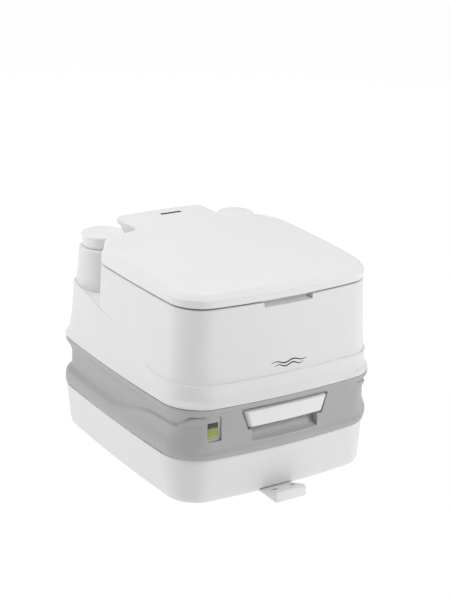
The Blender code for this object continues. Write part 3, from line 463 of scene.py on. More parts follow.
WHITE = plastic("shell_white", (0.795, 0.795, 0.795), 0.50, 0.06, 1100, 0.012, spec=0.3)
LIDW = plastic("lid_white", (0.825, 0.825, 0.823), 0.50, 0.05, 1300, 0.010, spec=0.3)
CAPW = plastic("cap_white", (0.84, 0.84, 0.835), 0.46, 0.04, 1300, 0.010, spec=0.3)
GREY = plastic("band_grey", (0.430, 0.430, 0.430), 0.46, 0.08, 900, 0.02)
GREYD = plastic("fitting_grey", (0.36, 0.36, 0.36), 0.45, 0.08, 900, 0.02)
DARK = plastic("dark_plastic", (0.045, 0.045, 0.05), 0.5, 0.08, 900, 0.05)
VALVE = plastic("valve_plastic", (0.20, 0.205, 0.22), 0.36, 0.05, 900, 0.03)
RUBBER = plastic("seal_rubber", (0.022, 0.022, 0.024), 0.7, 0.15, 700, 0.08, spec=0.3)
BRACKET = plastic("bracket_grey", (0.84, 0.84, 0.84), 0.45, 0.07, 900, 0.02)
GREEN = plastic("flag_green", (0.30, 0.42, 0.05), 0.4, 0.04, 900, 0.05)
INK = plastic("print_ink", (0.012, 0.012, 0.014), 0.5, 0.03, 900, 0.05, edge=0.0)
STEEL = metal("stainless_steel", (0.62, 0.62, 0.60))

# window: clear, faintly green lens over the coloured indicator; painted shade darkens its colour upwards, near black at
# its head
LENS = bpy.data.materials.new("level_lens")
LENS.use_nodes = True
_nt = LENS.node_tree
_b = _nt.nodes["Principled BSDF"]
_b.inputs["Roughness"].default_value = 0.12
_b.inputs["Coat Weight"].default_value = 0.4
_tc = _nt.nodes.new("ShaderNodeTexCoord")
_sep = _nt.nodes.new("ShaderNodeSeparateXYZ")
_nt.links.new(_tc.outputs["Object"], _sep.inputs["Vector"])
_mr = _nt.nodes.new("ShaderNodeMapRange")
_mr.inputs["From Min"].default_value = 0.098
_mr.inputs["From Max"].default_value = 0.124
_nt.links.new(_sep.outputs["Z"], _mr.inputs["Value"])
_nz = _nt.nodes.new("ShaderNodeTexNoise")
_nz.inputs["Scale"].default_value = 180.0
_nt.links.new(_tc.outputs["Object"], _nz.inputs["Vector"])
_add = _nt.nodes.new("ShaderNodeMath")
_add.operation = "MULTIPLY_ADD"
_add.inputs[1].default_value = 0.12
_nt.links.new(_nz.outputs["Fac"], _add.inputs[0])
_nt.links.new(_mr.outputs["Result"], _add.inputs[2])
# ramp: indicator green low down, then painted shade going to near black towards the top
_indicator_and_shade_ramp = _nt.nodes.new("ShaderNodeValToRGB")
_e = _indicator_and_shade_ramp.color_ramp.elements
_e[0].position, _e[0].color = 0.10, (0.40, 0.45, 0.13, 1)
_e[1].position, _e[1].color = 0.95, (0.02, 0.03, 0.01, 1)
for _p, _c in ((0.30, (0.25, 0.31, 0.075, 1)), (0.66, (0.26, 0.31, 0.07, 1)), (0.76, (0.02, 0.025, 0.012, 1))):
    _x = _indicator_and_shade_ramp.color_ramp.elements.new(_p)
    _x.color = _c
_nt.links.new(_add.outputs["Value"], _indicator_and_shade_ramp.inputs["Fac"])
_nt.links.new(_indicator_and_shade_ramp.outputs["Color"], _b.inputs["Base Color"])

# ------------------------------------------------------------------ lower tub
tub = []
for z, d in ((0.0, 8.5), (0.35, 6.6), (1.2, 4.6), (2.6, 2.7), (4.6, 1.3), (7.2, 0.5), (10.0, 0.1)):
    tub.append(poly(outline(inset(lerp(FOOT, BELT, z / 150.0), d)), z))
for k in range(1, 9):
    z = 10.0 + (66.6 - 10.0) * k / 8
    tub.append(poly(outline(lerp(FOOT, BELT, 0.066 + (1 - 0.066) * (z - 10) / 58.0)), z))
tub += [poly(outline(inset(BELT, 0.15)), 67.4), poly(outline(inset(BELT, 0.6)), 67.9), poly(outline(inset(BELT, 1.4)), 68.0)]
t = loft("tub", tub)
tub_in = loft("t", [poly(outline(inset(FOOT, 12.0)), 10.5), poly(outline(inset(FOOT, 5.0)), 14.0),
                    poly(outline(inset(lerp(FOOT, BELT, 0.58), 3.4)), 38.0), poly(outline(inset(BELT, 3.4)), 75.0)])
cut(t, [tub_in, box(-37, 17, -205, -155, -3, 6.2), box(-17, 37, 155, 205, -3, 6.2)])
place(t, "tub_shell", WHITE, "waste_tank", "tank_white", "waste_tank_base")

# ------------------------------------------------------------------ grey tank top
side_tab = table([(68.3, 3.0), (69.2, 1.6), (70.6, 0.8), (75.0, 0.3), (82.0, 0.4), (86.5, 1.2), (90.0, 3.0), (93.0, 5.8), (96.5, 7.8),
                  (101.0, 8.6), (111.0, 9.2), (119.0, 8.9), (125.0, 7.6), (130.0, 5.4), (134.0, 3.0), (137.0, 1.4), (140.0, 0.8),
                  (143.3, 0.5)])
front_tab = table([(68.3, 3.2), (69.2, 2.2), (70.6, 1.7), (73.6, 1.2), (75.6, 0.8), (76.6, 0.8), (77.6, 1.5), (79.2, 2.5), (81.0, 2.7),
                   (92.0, 2.7), (111.0, 3.4), (122.0, 3.9), (130.0, 4.5), (133.0, 4.7), (134.6, 4.2), (136.4, 2.2), (139.0, 1.0),
                   (143.3, 0.6)])


def step_height(x, y):
    """Height of the line where the waist begins; it climbs forward and turns up round the front corners."""
    h = 92.0 + 24.0 * smooth(20, -110, y)
    if y < -120:
        h += 15.0 * min(max((160.0 - abs(x)) / 13.0, 0.0), 1.0)
    return h


def band_inset(z, x, y):
    """Bulge below the step line, waist above it, full fascia across the front."""
    h = step_height(x, y)
    fwd = smooth(20, -100, y)
    corner = 1 - smooth(117, 128, z)
    low = side_tab(min(z, 86.0)) + 0.9 * smooth(84, 90, z) + 3.4 * smooth(86, 101, z) * corner * (0.35 + 0.65 * fwd)
    if z < 77:
        low += (front_tab(z) - low) * fwd
    top = max(z, 106.0)
    high = side_tab(top) - 0.9 * fwd
    wide = 9.0 - 6.6 * fwd
    t = smooth(h - wide / 2, h + wide / 2, z)
    side = low + (high - low) * t
    fas = smooth(150, 126, abs(x)) if y < -120 else 0.0
    side += (front_tab(z) - side) * fas
    line = math.exp(-((z - h) / 0.8) ** 2) * smooth(0, -80, y)
    if y < -120:
        line *= smooth(125, 132, abs(x))
    return side + 1.2 * line * smooth(137, 134, z)


zs = [68.3, 68.8, 69.4, 70.2, 71.2, 72.6, 74.0, 74.8, 75.4, 76.0, 76.6, 77.4, 78.6, 80.5, 83.0, 85.5]
zs += [87.0 + 1.0 * k for k in range(0, 46)]
zs += [133.0, 133.8, 134.6, 135.4, 136.2, 137.0, 138.2, 139.6, 141.0, 142.2, 142.9, 143.3]
outer_a, outer_b = outline(RIM, nc=34), outline(inset(RIM, 10.0), nc=34)
rings = []
for z in zs:
    extra = 0.7 * smooth(142.6, 143.4, z)
    row = []
    for p, q in zip(outer_a, outer_b):
        d = (band_inset(z, p[0], p[1]) + extra) / 10.0
        row.append((p[0] + (q[0] - p[0]) * d, p[1] + (q[1] - p[1]) * d, z))
    rings.append(row)
t = loft("top", rings)
tray = loft("t", [poly(outline(inset(RIM, 15.0, 27.0)), 117.0), poly(outline(inset(RIM, 14.2, 26.2)), 119.0),
                  poly(outline(inset(RIM, 14.0, 26.0)), 150.0)])
cav = loft("t", [poly(outline(inset(BELT, 3.4)), 60.0), poly(outline(inset(RIM, 6.5, 6.5)), 74.0),
                 poly(outline(inset(RIM, 9.0, 27.0)), 80.0), poly(outline(inset(RIM, 12.7, 27.0)), 88.0),
                 poly(outline(inset(RIM, 13.2, 27.0)), 113.8)])
cut(cav, box(17.0, 158.5, 121.2, 230, 80.6, 160))
cut(t, [tray, cav, box(20.5, 155.0, 124.6, 230, 84.0, 160),
        lathe([(0, 135), (41, 135), (41, 100), (0, 100)], (0, -15, 0), 72),
        lathe([(0, 95), (16, 95), (16, 70), (0, 70)], (118, 150, 0), 48),
        lathe([(0, 130), (4.4, 130), (4.4, 100), (0, 100)], (-100, 138, 0), 24)])
# handle pocket, finger scoop with a sloping floor, rod slot
pocket = prism(round_poly([(-74.0, 133.4), (-63.5, 103.0), (59.6, 103.0), (70.4, 132.6)], [3, 2, 2, 3]), -215, -170.5, "Y")
scoop = prism([(-215, 85.0), (-187.5, 85.4), (-180.0, 89.5), (-175.0, 96.0), (-172.4, 103.4), (-215, 103.4)], -57.5, 51.5, "X")
cut(t, [pocket, scoop, box(-9.5, 9.5, -176, -150, 123.4, 131.6)])
# level window: shallow outer dish, deeper sight pocket
dish = prism(round_poly([(-129.5, 95.5), (-104.5, 95.5), (-104.5, 131.0), (-129.5, 131.0)], 2.0), -215, -180.1, "Y")
cut(t, [dish, prism(round_poly([(-124.8, 99.8), (-108.9, 99.8), (-108.9, 122.6), (-124.8, 122.6)], 1.8), -215, -177.0, "Y")])
cut(t, box(-69.4, -30.6, 184.4, 215, 124, 150))
ears = [prism(strap((176, 104), 9, (188.6, 104), 5.0), -50 + a, -50 + a + 4, "X") for a in (-23.5, 19.5)]
join(t, ears)
cut(t, lathe([(0, 35), (2.4, 35), (2.4, -35), (0, -35)], (-50, 188.6, 104), 24, axis="X"))
place(t, "tank_top_shell", GREY, "waste_tank", "band_grey", "waste_tank_top")

# ------------------------------------------------------------------ valve, gauge, vent
def bevelled(pts, lo, hi, axis, w, seg=3):
    return edge_round(prism(pts, lo, hi, axis), w, seg)


bm = bmesh.new()
cols, rowsn = 28, 6
grid = []
for j in range(rowsn + 1):
    v = j / rowsn
    z = 107.4 + (130.6 - 107.4) * v
    hw = 57.4 + (65.0 - 57.4) * v
    grid.append([bm.verts.new(((hw * (-1 + 2 * i / cols) - 1.6) * MM, (-190.4 + 1.6 * (-1 + 2 * i / cols) ** 2 + 0.25 * (1 - v)) * MM, z * MM))
                 for i in range(cols + 1)])
back = []
for j, (z, hw) in enumerate(((105.6, 60.4), (131.4, 69.0))):
    back.append([bm.verts.new(((hw * (-1 + 2 * i / cols) - 1.6) * MM, -178.6 * MM, z * MM)) for i in range(cols + 1)])
for j in range(rowsn):
    for i in range(cols):
        bm.faces.new((grid[j][i], grid[j][i + 1], grid[j + 1][i + 1], grid[j + 1][i]))
for i in range(cols):
    bm.faces.new((back[0][i + 1], back[0][i], back[1][i], back[1][i + 1]))
    bm.faces.new((grid[-1][i], grid[-1][i + 1], back[1][i + 1], back[1][i]))
    bm.faces.new((grid[0][i + 1], grid[0][i], back[0][i], back[0][i + 1]))
bm.faces.new([g[0] for g in grid[::-1]] + [back[0][0], back[1][0]])
bm.faces.new([g[-1] for g in grid] + [back[1][-1], back[0][-1]])
bmesh.ops.recalc_face_normals(bm, faces=bm.faces)
t = edge_round(from_bm("handle", bm), 1.5, 4, 40)
place(t, "pull_handle", CAPW, "valve", "lid_white", "valve_handle", angle=40)
t = box(-51.9, 51.9, -68, 34.4, 125.7, 129.3, bevel=0.7)
place(t, "blade_plate", VALVE, "valve", "valve_plastic", "valve_blade")
t = box(-7, 7, -178.2, -68.3, 125.9, 129.1, bevel=0.6)
place(t, "blade_rod", VALVE, "valve", "valve_plastic", "valve_rod")

t = prism(round_poly([(-62, 117.3), (62, 117.3), (62, 129.9), (-62, 129.9)], 1.2), -75, 47, "Y")
cut(t, [box(-52.3, 52.3, -90, 34.8, 125.4, 140), lathe([(0, 140), (41, 140), (41, 100), (0, 100)], (0, -15, 0), 72)])
place(t, "valve_frame_low", DARK, "waste_tank", "dark_plastic", "valve_base")
t = prism(round_poly([(-62, 130.2), (62, 130.2), (62, 134.2), (-62, 134.2)], 1.2), -75, 47, "Y")
cut(t, lathe([(0, 140), (41, 140), (41, 100), (0, 100)], (0, -15, 0), 72))
ribs = [box(x - 1.2, x + 1.2, -74, -62, 134.0, 135.4, bevel=0.4) for x in (-40, -20, 0, 20, 40)]
join(t, ribs)
place(t, "valve_frame_top", DARK, "waste_tank", "dark_plastic", "valve_cover")
t = lathe([(42.2, 138.8), (43.6, 139.4), (45.5, 139.3), (46.4, 137.8), (48.2, 136.4), (50.3, 135.9), (50.5, 134.5), (42.4, 134.5),
           (42.2, 136)], (0, -15, 0), 96, True)
place(t, "lip_seal_ring", RUBBER, "waste_tank", "seal_rubber", "valve_lip_seal")


def screw(name, node, x, y, top, r, body, foot):
    """Countersunk cross-head screw."""
    t = lathe([(0, top), (r * 0.55, top), (r * 0.9, top - 0.25), (r, top - 0.6), (r * 0.93, top - 1.1), (r * 0.45, top - 3.3),
               (r * 0.42, foot + 1), (r * 0.2, foot), (0, foot)], (x, y, 0), 32)
    for a in (0.35, 0.35 + math.pi / 2):
        slot = box(-r * 0.55, r * 0.55, -r * 0.12, r * 0.12, top - 1.3, top + 1, bevel=0.0)
        slot.data.transform(Matrix.Translation((x * MM, y * MM, 0)) @ Matrix.Rotation(a, 4, "Z"))
        cut(t, slot)
    place(t, name, STEEL, body, "steel", node)


for i, (x, y) in enumerate(((-57, -69), (57, -69), (57, 41), (-57, 41))):
    screw("frame_screw_%d" % (i + 1), "valve_screw_%d" % (i + 1), x, y, 136.8, 3.6, "waste_tank", 121.0)

t = edge_round(prism(round_poly([(-124.6, 100.0), (-109.1, 100.0), (-109.1, 122.4), (-124.6, 122.4)], 1.5), -180.0, -177.4, "Y"), 0.5, 2)
place(t, "sight_glass", LENS, "waste_tank", "window_clear", "level_window")
for node, mat in (("level_flag", GREEN), ("level_arm", VALVE), ("level_float", CAPW), ("level_axle", STEEL), ("latch_pin", STEEL),
                  ("hinge_pin_left", STEEL), ("hinge_pin_right", STEEL), ("suction_tube", VALVE), ("flush_hose", VALVE),
                  ("pump_body", VALVE), ("vent_valve_disc", DARK), ("vent_seal", RUBBER), ("filler_seal", RUBBER),
                  ("spout_cap_seal", RUBBER), ("seat_pad_1", RUBBER), ("seat_pad_2", RUBBER), ("seat_pad_3", RUBBER),
                  ("seat_pad_4", RUBBER), ("lid_pad_left", RUBBER), ("lid_pad_right", RUBBER)):
    N[node].data.materials.clear()
    N[node].data.materials.append(mat)
t = lathe([(0, 127.6), (3.0, 127.55), (6.0, 127.2), (8.2, 126.3), (9.0, 125.2), (9.0, 123.4), (8.4, 122.6), (3.6, 122.6), (3.6, 110.4),
           (0, 110.4)], (-100, 138, 0), 48, flutes=12, depth=0.5, frange=(123.0, 125.5))
place(t, "vent_knob", DARK, "vent", "dark_plastic", "vent_button")

lo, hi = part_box("vent_spring")
rs = (hi[0] - lo[0]) / 2 / MM - 0.45
z0, z1 = lo[2] / MM + 0.45, hi[2] / MM - 0.45
bm = bmesh.new()
coil = []
turns, per, wn = 5.0, 28, 8
for k in range(int(turns * per) + 1):
    a = 2 * math.pi * k / per
    c = Vector((-100 + rs * math.cos(a), 138 + rs * math.sin(a), z0 + (z1 - z0) * k / (turns * per)))
    out = Vector((math.cos(a), math.sin(a), 0))
    coil.append([bm.verts.new((c + out * 0.4 * math.cos(2 * math.pi * q / wn) + Vector((0, 0, 1)) * 0.4 * math.sin(2 * math.pi * q / wn)) * MM)
                 for q in range(wn)])
for a, b in zip(coil, coil[1:]):
    for q in range(wn):
        j = (q + 1) % wn
        bm.faces.new((a[q], a[j], b[j], b[q]))
bm.faces.new(coil[0])
bm.faces.new(coil[-1][::-1])
bmesh.ops.recalc_face_normals(bm, faces=bm.faces)
t = place(from_bm("vent_coil", bm), "vent_coil", STEEL, "waste_tank", "steel", "vent_spring")
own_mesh(t)

# ------------------------------------------------------------------ spout
def tube(name, pts, r, n=40, inner=None):
    """Round pipe along points; inner gives a bore."""
    rows, rows_in = [], []
    frames = []
    up = Vector((0, 1, 0))
    P = [Vector(p) for p in pts]
    for i, p in enumerate(P):
        d = (P[min(i + 1, len(P) - 1)] - P[max(i - 1, 0)]).normalized()
        u = up
        if abs(d.dot(u)) > 0.95:
            u = Vector((1, 0, 0))
        s = d.cross(u).normalized()
        u2 = s.cross(d).normalized()
        frames.append((p, s, u2))
    for p, s, u in frames:
        rows.append([tuple(p + (s * math.cos(2 * math.pi * k / n) + u * math.sin(2 * math.pi * k / n)) * r) for k in range(n)])
        if inner:
            rows_in.append([tuple(p + (s * math.cos(2 * math.pi * k / n) + u * math.sin(2 * math.pi * k / n)) * inner) for k in range(n)])
    if inner:
        return loft(name, rows + rows_in[::-1], closed=True)
    return loft(name, rows)


sx, sy, SZ, R = 118.0, 150.0, 116.0, 18.0
path = [(sx, sy, 84.6), (sx, sy, 90), (sx, sy, SZ - R)]
path += [(sx - R + R * math.cos(math.pi / 2 * i / 16), sy, SZ - R + R * math.sin(math.pi / 2 * i / 16)) for i in range(1, 17)]
path += [(sx - 26, sy, SZ), (sx - 40, sy, SZ), (65.4, sy, SZ)]
t = tube("spout", path, 17.2, 48, 14.0)
join(t, lathe([(14.6, 2.0), (17.8, 2.0), (18.3, 1.5), (18.3, -1.5), (17.8, -2.0), (14.6, -2.0)], (86, sy, SZ), 72, True, "X"))
place(t, "spout_pipe", GREYD, "spout", "band_grey", "pour_spout")
t = lathe([(0, 9.0), (12, 9.0), (18.5, 8.9), (20.8, 8.2), (22.0, 6.8), (22.0, -7.0), (21.4, -7.5), (18.9, -7.5), (18.9, 5.2), (0, 5.2)],
          (67.0, sy, SZ), 120, False, "-X", flutes=24, depth=0.7, frange=(-6.9, 6.9))
join(t, [prism([(sy - 1.8, SZ - 14), (sy + 1.8, SZ - 14), (sy + 1.8, SZ + 14), (sy - 1.8, SZ + 14)], 56.6, 58.4, "X")])
place(t, "spout_cap_shell", GREYD, "spout_cap", "band_grey", "spout_cap")
t = lathe([(18.4, 91.5), (18.9, 92.0), (23.2, 92.0), (24.0, 91.2), (24.0, 84.3), (18.4, 84.3)], (sx, sy, 0), 96, True, flutes=0)
place(t, "collar_ring", DARK, "waste_tank", "dark_plastic", "spout_collar")

# ------------------------------------------------------------------ latch
ly, lz = 188.6, 104.0
lever = [(ly - 4.4, lz - 2.0), (ly - 2.0, lz - 4.8), (ly + 3.0, lz - 4.8), (ly + 5.2, lz - 1), (ly + 5.0, lz + 46.0),
         (ly + 3.0, lz + 52.0), (ly - 8.5, lz + 52.0), (ly - 8.5, lz + 48.2), (ly - 1.2, lz + 48.2), (ly - 1.2, lz + 6),
         (ly - 4.2, lz + 2.6)]
t = prism(round_poly([(y - ly, z - lz) for y, z in lever], 1.2, 3), -18.8, 18.8, "X")
cut(t, [box(-13, 13, 3.4, 9, 4, 40, bevel=1.5)])
for k in range(5):
    join(t, box(-11, 11, 3.0, 4.9, 10 + 6 * k, 12 + 6 * k, bevel=0.4))
t = edge_round(t, 0.5, 2)
cut(t, lathe([(0, 35), (2.4, 35), (2.4, -35), (0, -35)], (0, 0, 0), 24, axis="X"))
t.data.transform(Matrix.Translation((-0.050, ly * MM, lz * MM)) @ Matrix.Rotation(math.radians(-25), 4, "X"))
place(t, "latch_lever", GREYD, "latch", "band_grey", "rear_latch")

# ------------------------------------------------------------------ floor brackets
PROFILE = [(219, 0), (219, 13.4), (217.4, 15), (213, 15), (183, 4.6), (160, 4.6), (158, 3.0), (158, 0)]
for tag, sgn, bx in (("front", -1, -10.0), ("rear", 1, 10.0)):
    t = prism([(sgn * y, z) for y, z in PROFILE], bx - 25, bx + 25, "X")
    t = edge_round(t, 0.9, 3)
    # moulded pockets under the screw heads
    for dx in (-15.0, 15.0):
        cut(t, lathe([(0, 30), (4.9, 30), (4.9, 8.8), (2.5, 5.8), (2.5, -4), (0, -4)], (bx + dx, sgn * 199.0, 0), 40))
    place(t, tag + "_floor_bracket", BRACKET, "waste_tank", "bracket_grey", tag + "_bracket")
    for side, dx in (("left", -15.0), ("right", 15.0)):
        screw("%s_bracket_screw_%s" % (tag, side), "%s_screw_%s" % (tag, side), bx + dx, sgn * 199.0, 9.2, 4.3, "waste_tank", 0.6)


# ------------------------------------------------------------------ flush tank
def z_shoulder(y):
    return 176.0 + 34.5 * smooth(-105, 30, y) + 20.0 * smooth(10, 160, y)


draft = table([(143.8, 1.3), (144.3, 0.5), (145.0, 0.12), (146.0, 0.0), (147.4, 0.25), (149.0, 1.0), (151.0, 2.5), (153.0, 3.9), (156.0, 5.0),
               (160.0, 5.9), (168.0, 7.2), (177.0, 8.3), (200.0, 9.9), (231.0, 11.6), (281.0, 13.7)])
ra, rb = outline(RIM), outline(LIDS[:4] + (191.0 - 13.3,) + LIDS[5:])


def wall(i, z, extra=0.0):
    w = (draft(z) + extra) / 13.3
    return (ra[i][0] + (rb[i][0] - ra[i][0]) * w, ra[i][1] + (rb[i][1] - ra[i][1]) * w, z)


col_cache = {}


def column(i, z, extra=0.0):
    key = (round(z, 2), round(extra, 2))
    if key not in col_cache:
        s = lerp(RIM, LIDS, draft(z) / 13.3)
        s = s[:4] + (96.5 - (z - 230) * 0.03,) + (s[5], 43.0)
        col_cache[key] = outline(inset(s, extra) if extra else s)
    p = col_cache[key][i]
    return (p[0], p[1], z)


idx = range(len(ra))
zsh = [z_shoulder(wall(i, 200)[1]) for i in idx]
ledge = [2.6 * smooth(-60, -98, ra[i][1]) for i in idx]
roll_in = [max(smooth(-60, -98, ra[i][1]), smooth(SPLIT - 6, SPLIT + 30, ra[i][1])) for i in idx]
rings = [[wall(i, z) for i in idx] for z in (143.8, 144.05, 144.4, 145.0, 146.0, 147.0, 148.0, 149.0, 150.0, 151.0, 152.0, 153.0,
                                             154.5, 156.0, 158.0)]
for f in (0.0, 0.25, 0.5, 0.75, 0.9):
    rings.append([wall(i, 161.0 + (zsh[i] - 3.0 - 161.0) * f, -ledge[i] * (0.25 + 0.75 * f)) for i in idx])
for dz, e in ((-2.2, 0.0), (-1.2, 0.15), (-0.6, 0.4), (-0.2, 0.8)):
    rings.append([wall(i, zsh[i] + dz, e * roll_in[i] - ledge[i]) for i in idx])


def deck(i, t, lift=0.0):
    """From the shoulder edge (0) to the foot of the column (1)."""
    a = wall(i, zsh[i], 1.1 * roll_in[i] - ledge[i])
    c0 = column(i, 240.0)
    zc = z_shoulder(c0[1])
    zc = zc if c0[1] > SPLIT - 1 else zsh[i]
    b = column(i, round(zc, 1))
    b = (b[0], b[1], zc)
    if b[1] < SPLIT:
        w = smooth(SPLIT, SPLIT - 40, b[1])
        k = wall(i, zsh[i] + 0.25, 0.0)
        b = tuple(p + (q - p) * w for p, q in zip(b, k))
    return tuple(p + (q - p) * t for p, q in zip(a, b)), a, b


for tt in (0.02, 0.25, 0.5, 0.75):
    rings.append([deck(i, tt)[0] for i in idx])


def foot(i, away, lift):
    """Fillet round the foot of the column: away from the wall by a distance, lifted."""
    _, a, b = deck(i, 1.0)
    w = math.dist(a[:2], b[:2])
    k = min(away, 0.6 * w)
    d = ((a[0] - b[0]) / max(w, 1e-6), (a[1] - b[1]) / max(w, 1e-6))
    s = k / max(away, 1e-6) if away else 1.0
    return (b[0] + d[0] * k, b[1] + d[1] * k, b[2] + (a[2] - b[2]) * (k / max(w, 1e-6)) + lift)


rings.append([foot(i, 5.0, 0.0) for i in idx])
rings.append([foot(i, 2.2, 0.7) for i in idx])
rings.append([foot(i, 0.7, 2.2) for i in idx])


def column_ring(f):
    row = []
    for i in idx:
        _, a, b = deck(i, 1.0)
        z0 = b[2] + 5.0
        z = z0 + (270.0 - z0) * f
        c = column(i, round(z, 1))
        q = wall(i, z)
        if c[1] < SPLIT:
            w = smooth(SPLIT, SPLIT - 40, c[1]) * (1 - smooth(0.3, 1.0, f))
            off = (b[0] - wall(i, b[2])[0]) if True else 0
            c = (c[0] + (q[0] - c[0]) * w, c[1] + (q[1] - c[1]) * w, z)
        row.append((c[0], c[1], z))
    return row


for f in (0.0, 0.08, 0.2, 0.35, 0.5, 0.65, 0.8, 0.92, 1.0):
    rings.append(column_ring(f))
for z, d in ((274.0, 0.0), (277.6, 0.0), (278.6, 0.15), (279.2, 0.5), (279.6, 1.0), (279.8, 1.7)):
    rings.append([column(i, z, d) for i in idx])
t = loft("flush", rings)
for tag, sgn, top in (("filler", -1, [(0, 297), (26.4, 297), (27.0, 296.4), (27.0, 286.4), (27.6, 285.4), (28.6, 285.0)]), ("pump", 1, [(0, 285)])):
    join(t, lathe(top + [(31.8, 285.0), (33.0, 284.7), (33.9, 283.9), (34.4, 282.6), (34.7, 280.6), (34.9, 276.0), (38.3, 236.0), (38.9, 200),
                         (0, 200)], (sgn * TOWER[0], TOWER[1], 0), 96))


def block(hw, y0, y1, z0, z1, r, edge):
    def pts(h, a, b, r):
        out = [(-h, a), (h, a)]
        for cx, a0 in ((h - r, 0), (-h + r, 90)):
            for i in range(9):
                an = math.radians(a0 + 90 * i / 8)
                out.append((cx + r * math.cos(an), b - r + r * math.sin(an)))
        return out
    rr = [(z0, 0.0)] + [(z1 - edge + edge * math.sin(math.radians(a)), edge * (1 - math.cos(math.radians(a)))) for a in (0, 20, 40, 60, 80, 90)]
    return loft("t", [poly(pts(hw - d, y0 + d, y1 - d, r - d * 0.6), z) for z, d in rr])


join(t, block(69.0, 97.2, 170.0, 200.0, 287.0, 12.0, 3.0))
for sgn in (-1, 1):
    x0, x1 = sorted((sgn * 60.2, sgn * 66.0))
    join(t, prism(strap((140, 284.5), 4.6, (HINGE_Y, HINGE_Z), 5.4), x0, x1, "X"))
join(t, lathe([(0, 150), (45.0, 150), (45.0, 141.0), (44.2, 139.8), (0, 139.8)], (0, -15, 0), 96))
BOWL = [(138.0, 41, 41, -15), (163.0, 42.5, 42.5, -15), (181.0, 51, 53, -22), (205.0, 66, 72, -31), (235.0, 80, 90, -39),
        (262.0, 89, 101, -43), (273.0, 92.5, 104.5, -44), (278.4, 95.5, 107.5, -44), (279.9, 98.0, 110.0, -44), (292.0, 110, 122, -44)]
bt = [table([(b[0], b[k]) for b in BOWL]) for k in (1, 2, 3)]


def oval(a, b, yc, z, n=96, p=2.25):
    out = []
    for i in range(n):
        an = 2 * math.pi * (i + 0.5) / n
        c, s = math.cos(an), math.sin(an)
        out.append((math.copysign(abs(c) ** (2 / p), c) * a, yc + math.copysign(abs(s) ** (2 / p), s) * b, z))
    return out


bz = [138 + 2.5 * k for k in range(57)] + [281, 284, 288, 292]
cut(t, loft("t", [oval(bt[0](z), bt[1](z), bt[2](z), z) for z in bz]))
cut(t, [lathe([(0, 310), (23, 310), (23, 250), (0, 245)], (-TOWER[0], TOWER[1], 0), 64),
        lathe([(0, 310), (30.2, 310), (30.2, 262), (21.0, 262), (21.0, 215), (0, 215)], (TOWER[0], TOWER[1], 0), 72),
        lathe([(0, 15), (4.3, 15), (4.3, -15), (0, -15)], (0, 64, 264), 28, axis="Y")])
cut(t, [prism(round_poly([(-200, 272.8), (-179.0, 272.8), (-168.6, 275.4), (-168.6, 290), (-200, 290)], [0, 0, 2.5, 0, 0]), -39.5, 39.5, "X"),
        box(-71, -29, 184.4, 215, 138, 152.4), box(-71, -29, 177.8, 215, 151.8, 161),
        lathe([(0, 80), (3.4, 80), (3.4, -80), (0, -80)], (0, HINGE_Y, HINGE_Z), 32, axis="X")])
place(t, "flush_tank_shell", WHITE, "flush_unit", "tank_white", "flush_tank")
t = lathe([(0, 11.0), (2.6, 11.0), (3.9, 10.2), (3.9, -11.0), (2.2, -11.0), (2.2, 8), (0, 8)], (0, 64.6, 264), 32, axis="-Y")
place(t, "nozzle_tip", GREYD, "flush_unit", "band_grey", "flush_nozzle")


# ------------------------------------------------------------------ lid
def lid_outline(d, nc=12, nf=26, ns=22, nn=10, nt=8, nr=18):
    hw, sb, yf, bow, yr, rf, rr = LIDS
    pts = []

    def arc(cx, cy, r, a0, a1, n):
        for i in range(n + 1):
            a = math.radians(a0 + (a1 - a0) * i / n)
            pts.append((cx + r * math.cos(a), cy + r * math.sin(a)))

    def run(b, n):
        a = pts[-1]
        for i in range(1, n):
            pts.append((a[0] + (b[0] - a[0]) * i / n, a[1] + (b[1] - a[1]) * i / n))

    NR, TG, TR = 17.0, 75.0, 172.0
    arc(-hw + rf, -yf + rf, rf - d, 180, 270, nc)
    run((hw - rf, -yf + d), nf)
    arc(hw - rf, -yf + rf, rf - d, 270, 360, nc)
    run((hw - d, yr - rr), ns)
    arc(hw - rr, yr - rr, rr - d, 0, 90, nc)
    tr = max(12.0 - d, 2.0)
    tx, ty = TG - d - tr, TR - d - tr
    arc(TG + NR, yr + NR, NR + d, 270, 180, nn)
    run((TG - d, ty), nt)
    arc(tx, ty, tr, 0, 90, nn)
    run((-tx, TR - d), nr)
    arc(-tx, ty, tr, 90, 180, nn)
    run((-TG + d, yr + NR), nt)
    arc(-TG - NR, yr + NR, NR + d, 0, -90, nn)
    arc(-hw + rr, yr - rr, rr - d, 90, 180, nc)
    run((-hw + d, -yf + rf), ns)
    ym, hy = (yr - yf) / 2, (yr + yf) / 2
    out = []
    for x, y in pts:
        fr = min(max(-y / yf, 0.0), 1.0)
        nx = x
        if y < yr:
            nx = x + math.copysign(sb * max(0.0, 1 - ((y - ym) / hy) ** 2) * min(abs(x) / hw, 1) ** 4, x)
        out.append((nx, y - bow * (1 - (x / hw) ** 2) * fr ** 2))
    return out


def z_lid(x, y):
    t = min(max((172.0 - y) / 350.0, 0.0), 1.0)
    return 312.9 - 11.0 * t ** 2.6 - 4.0 * (x / 150.0) ** 2


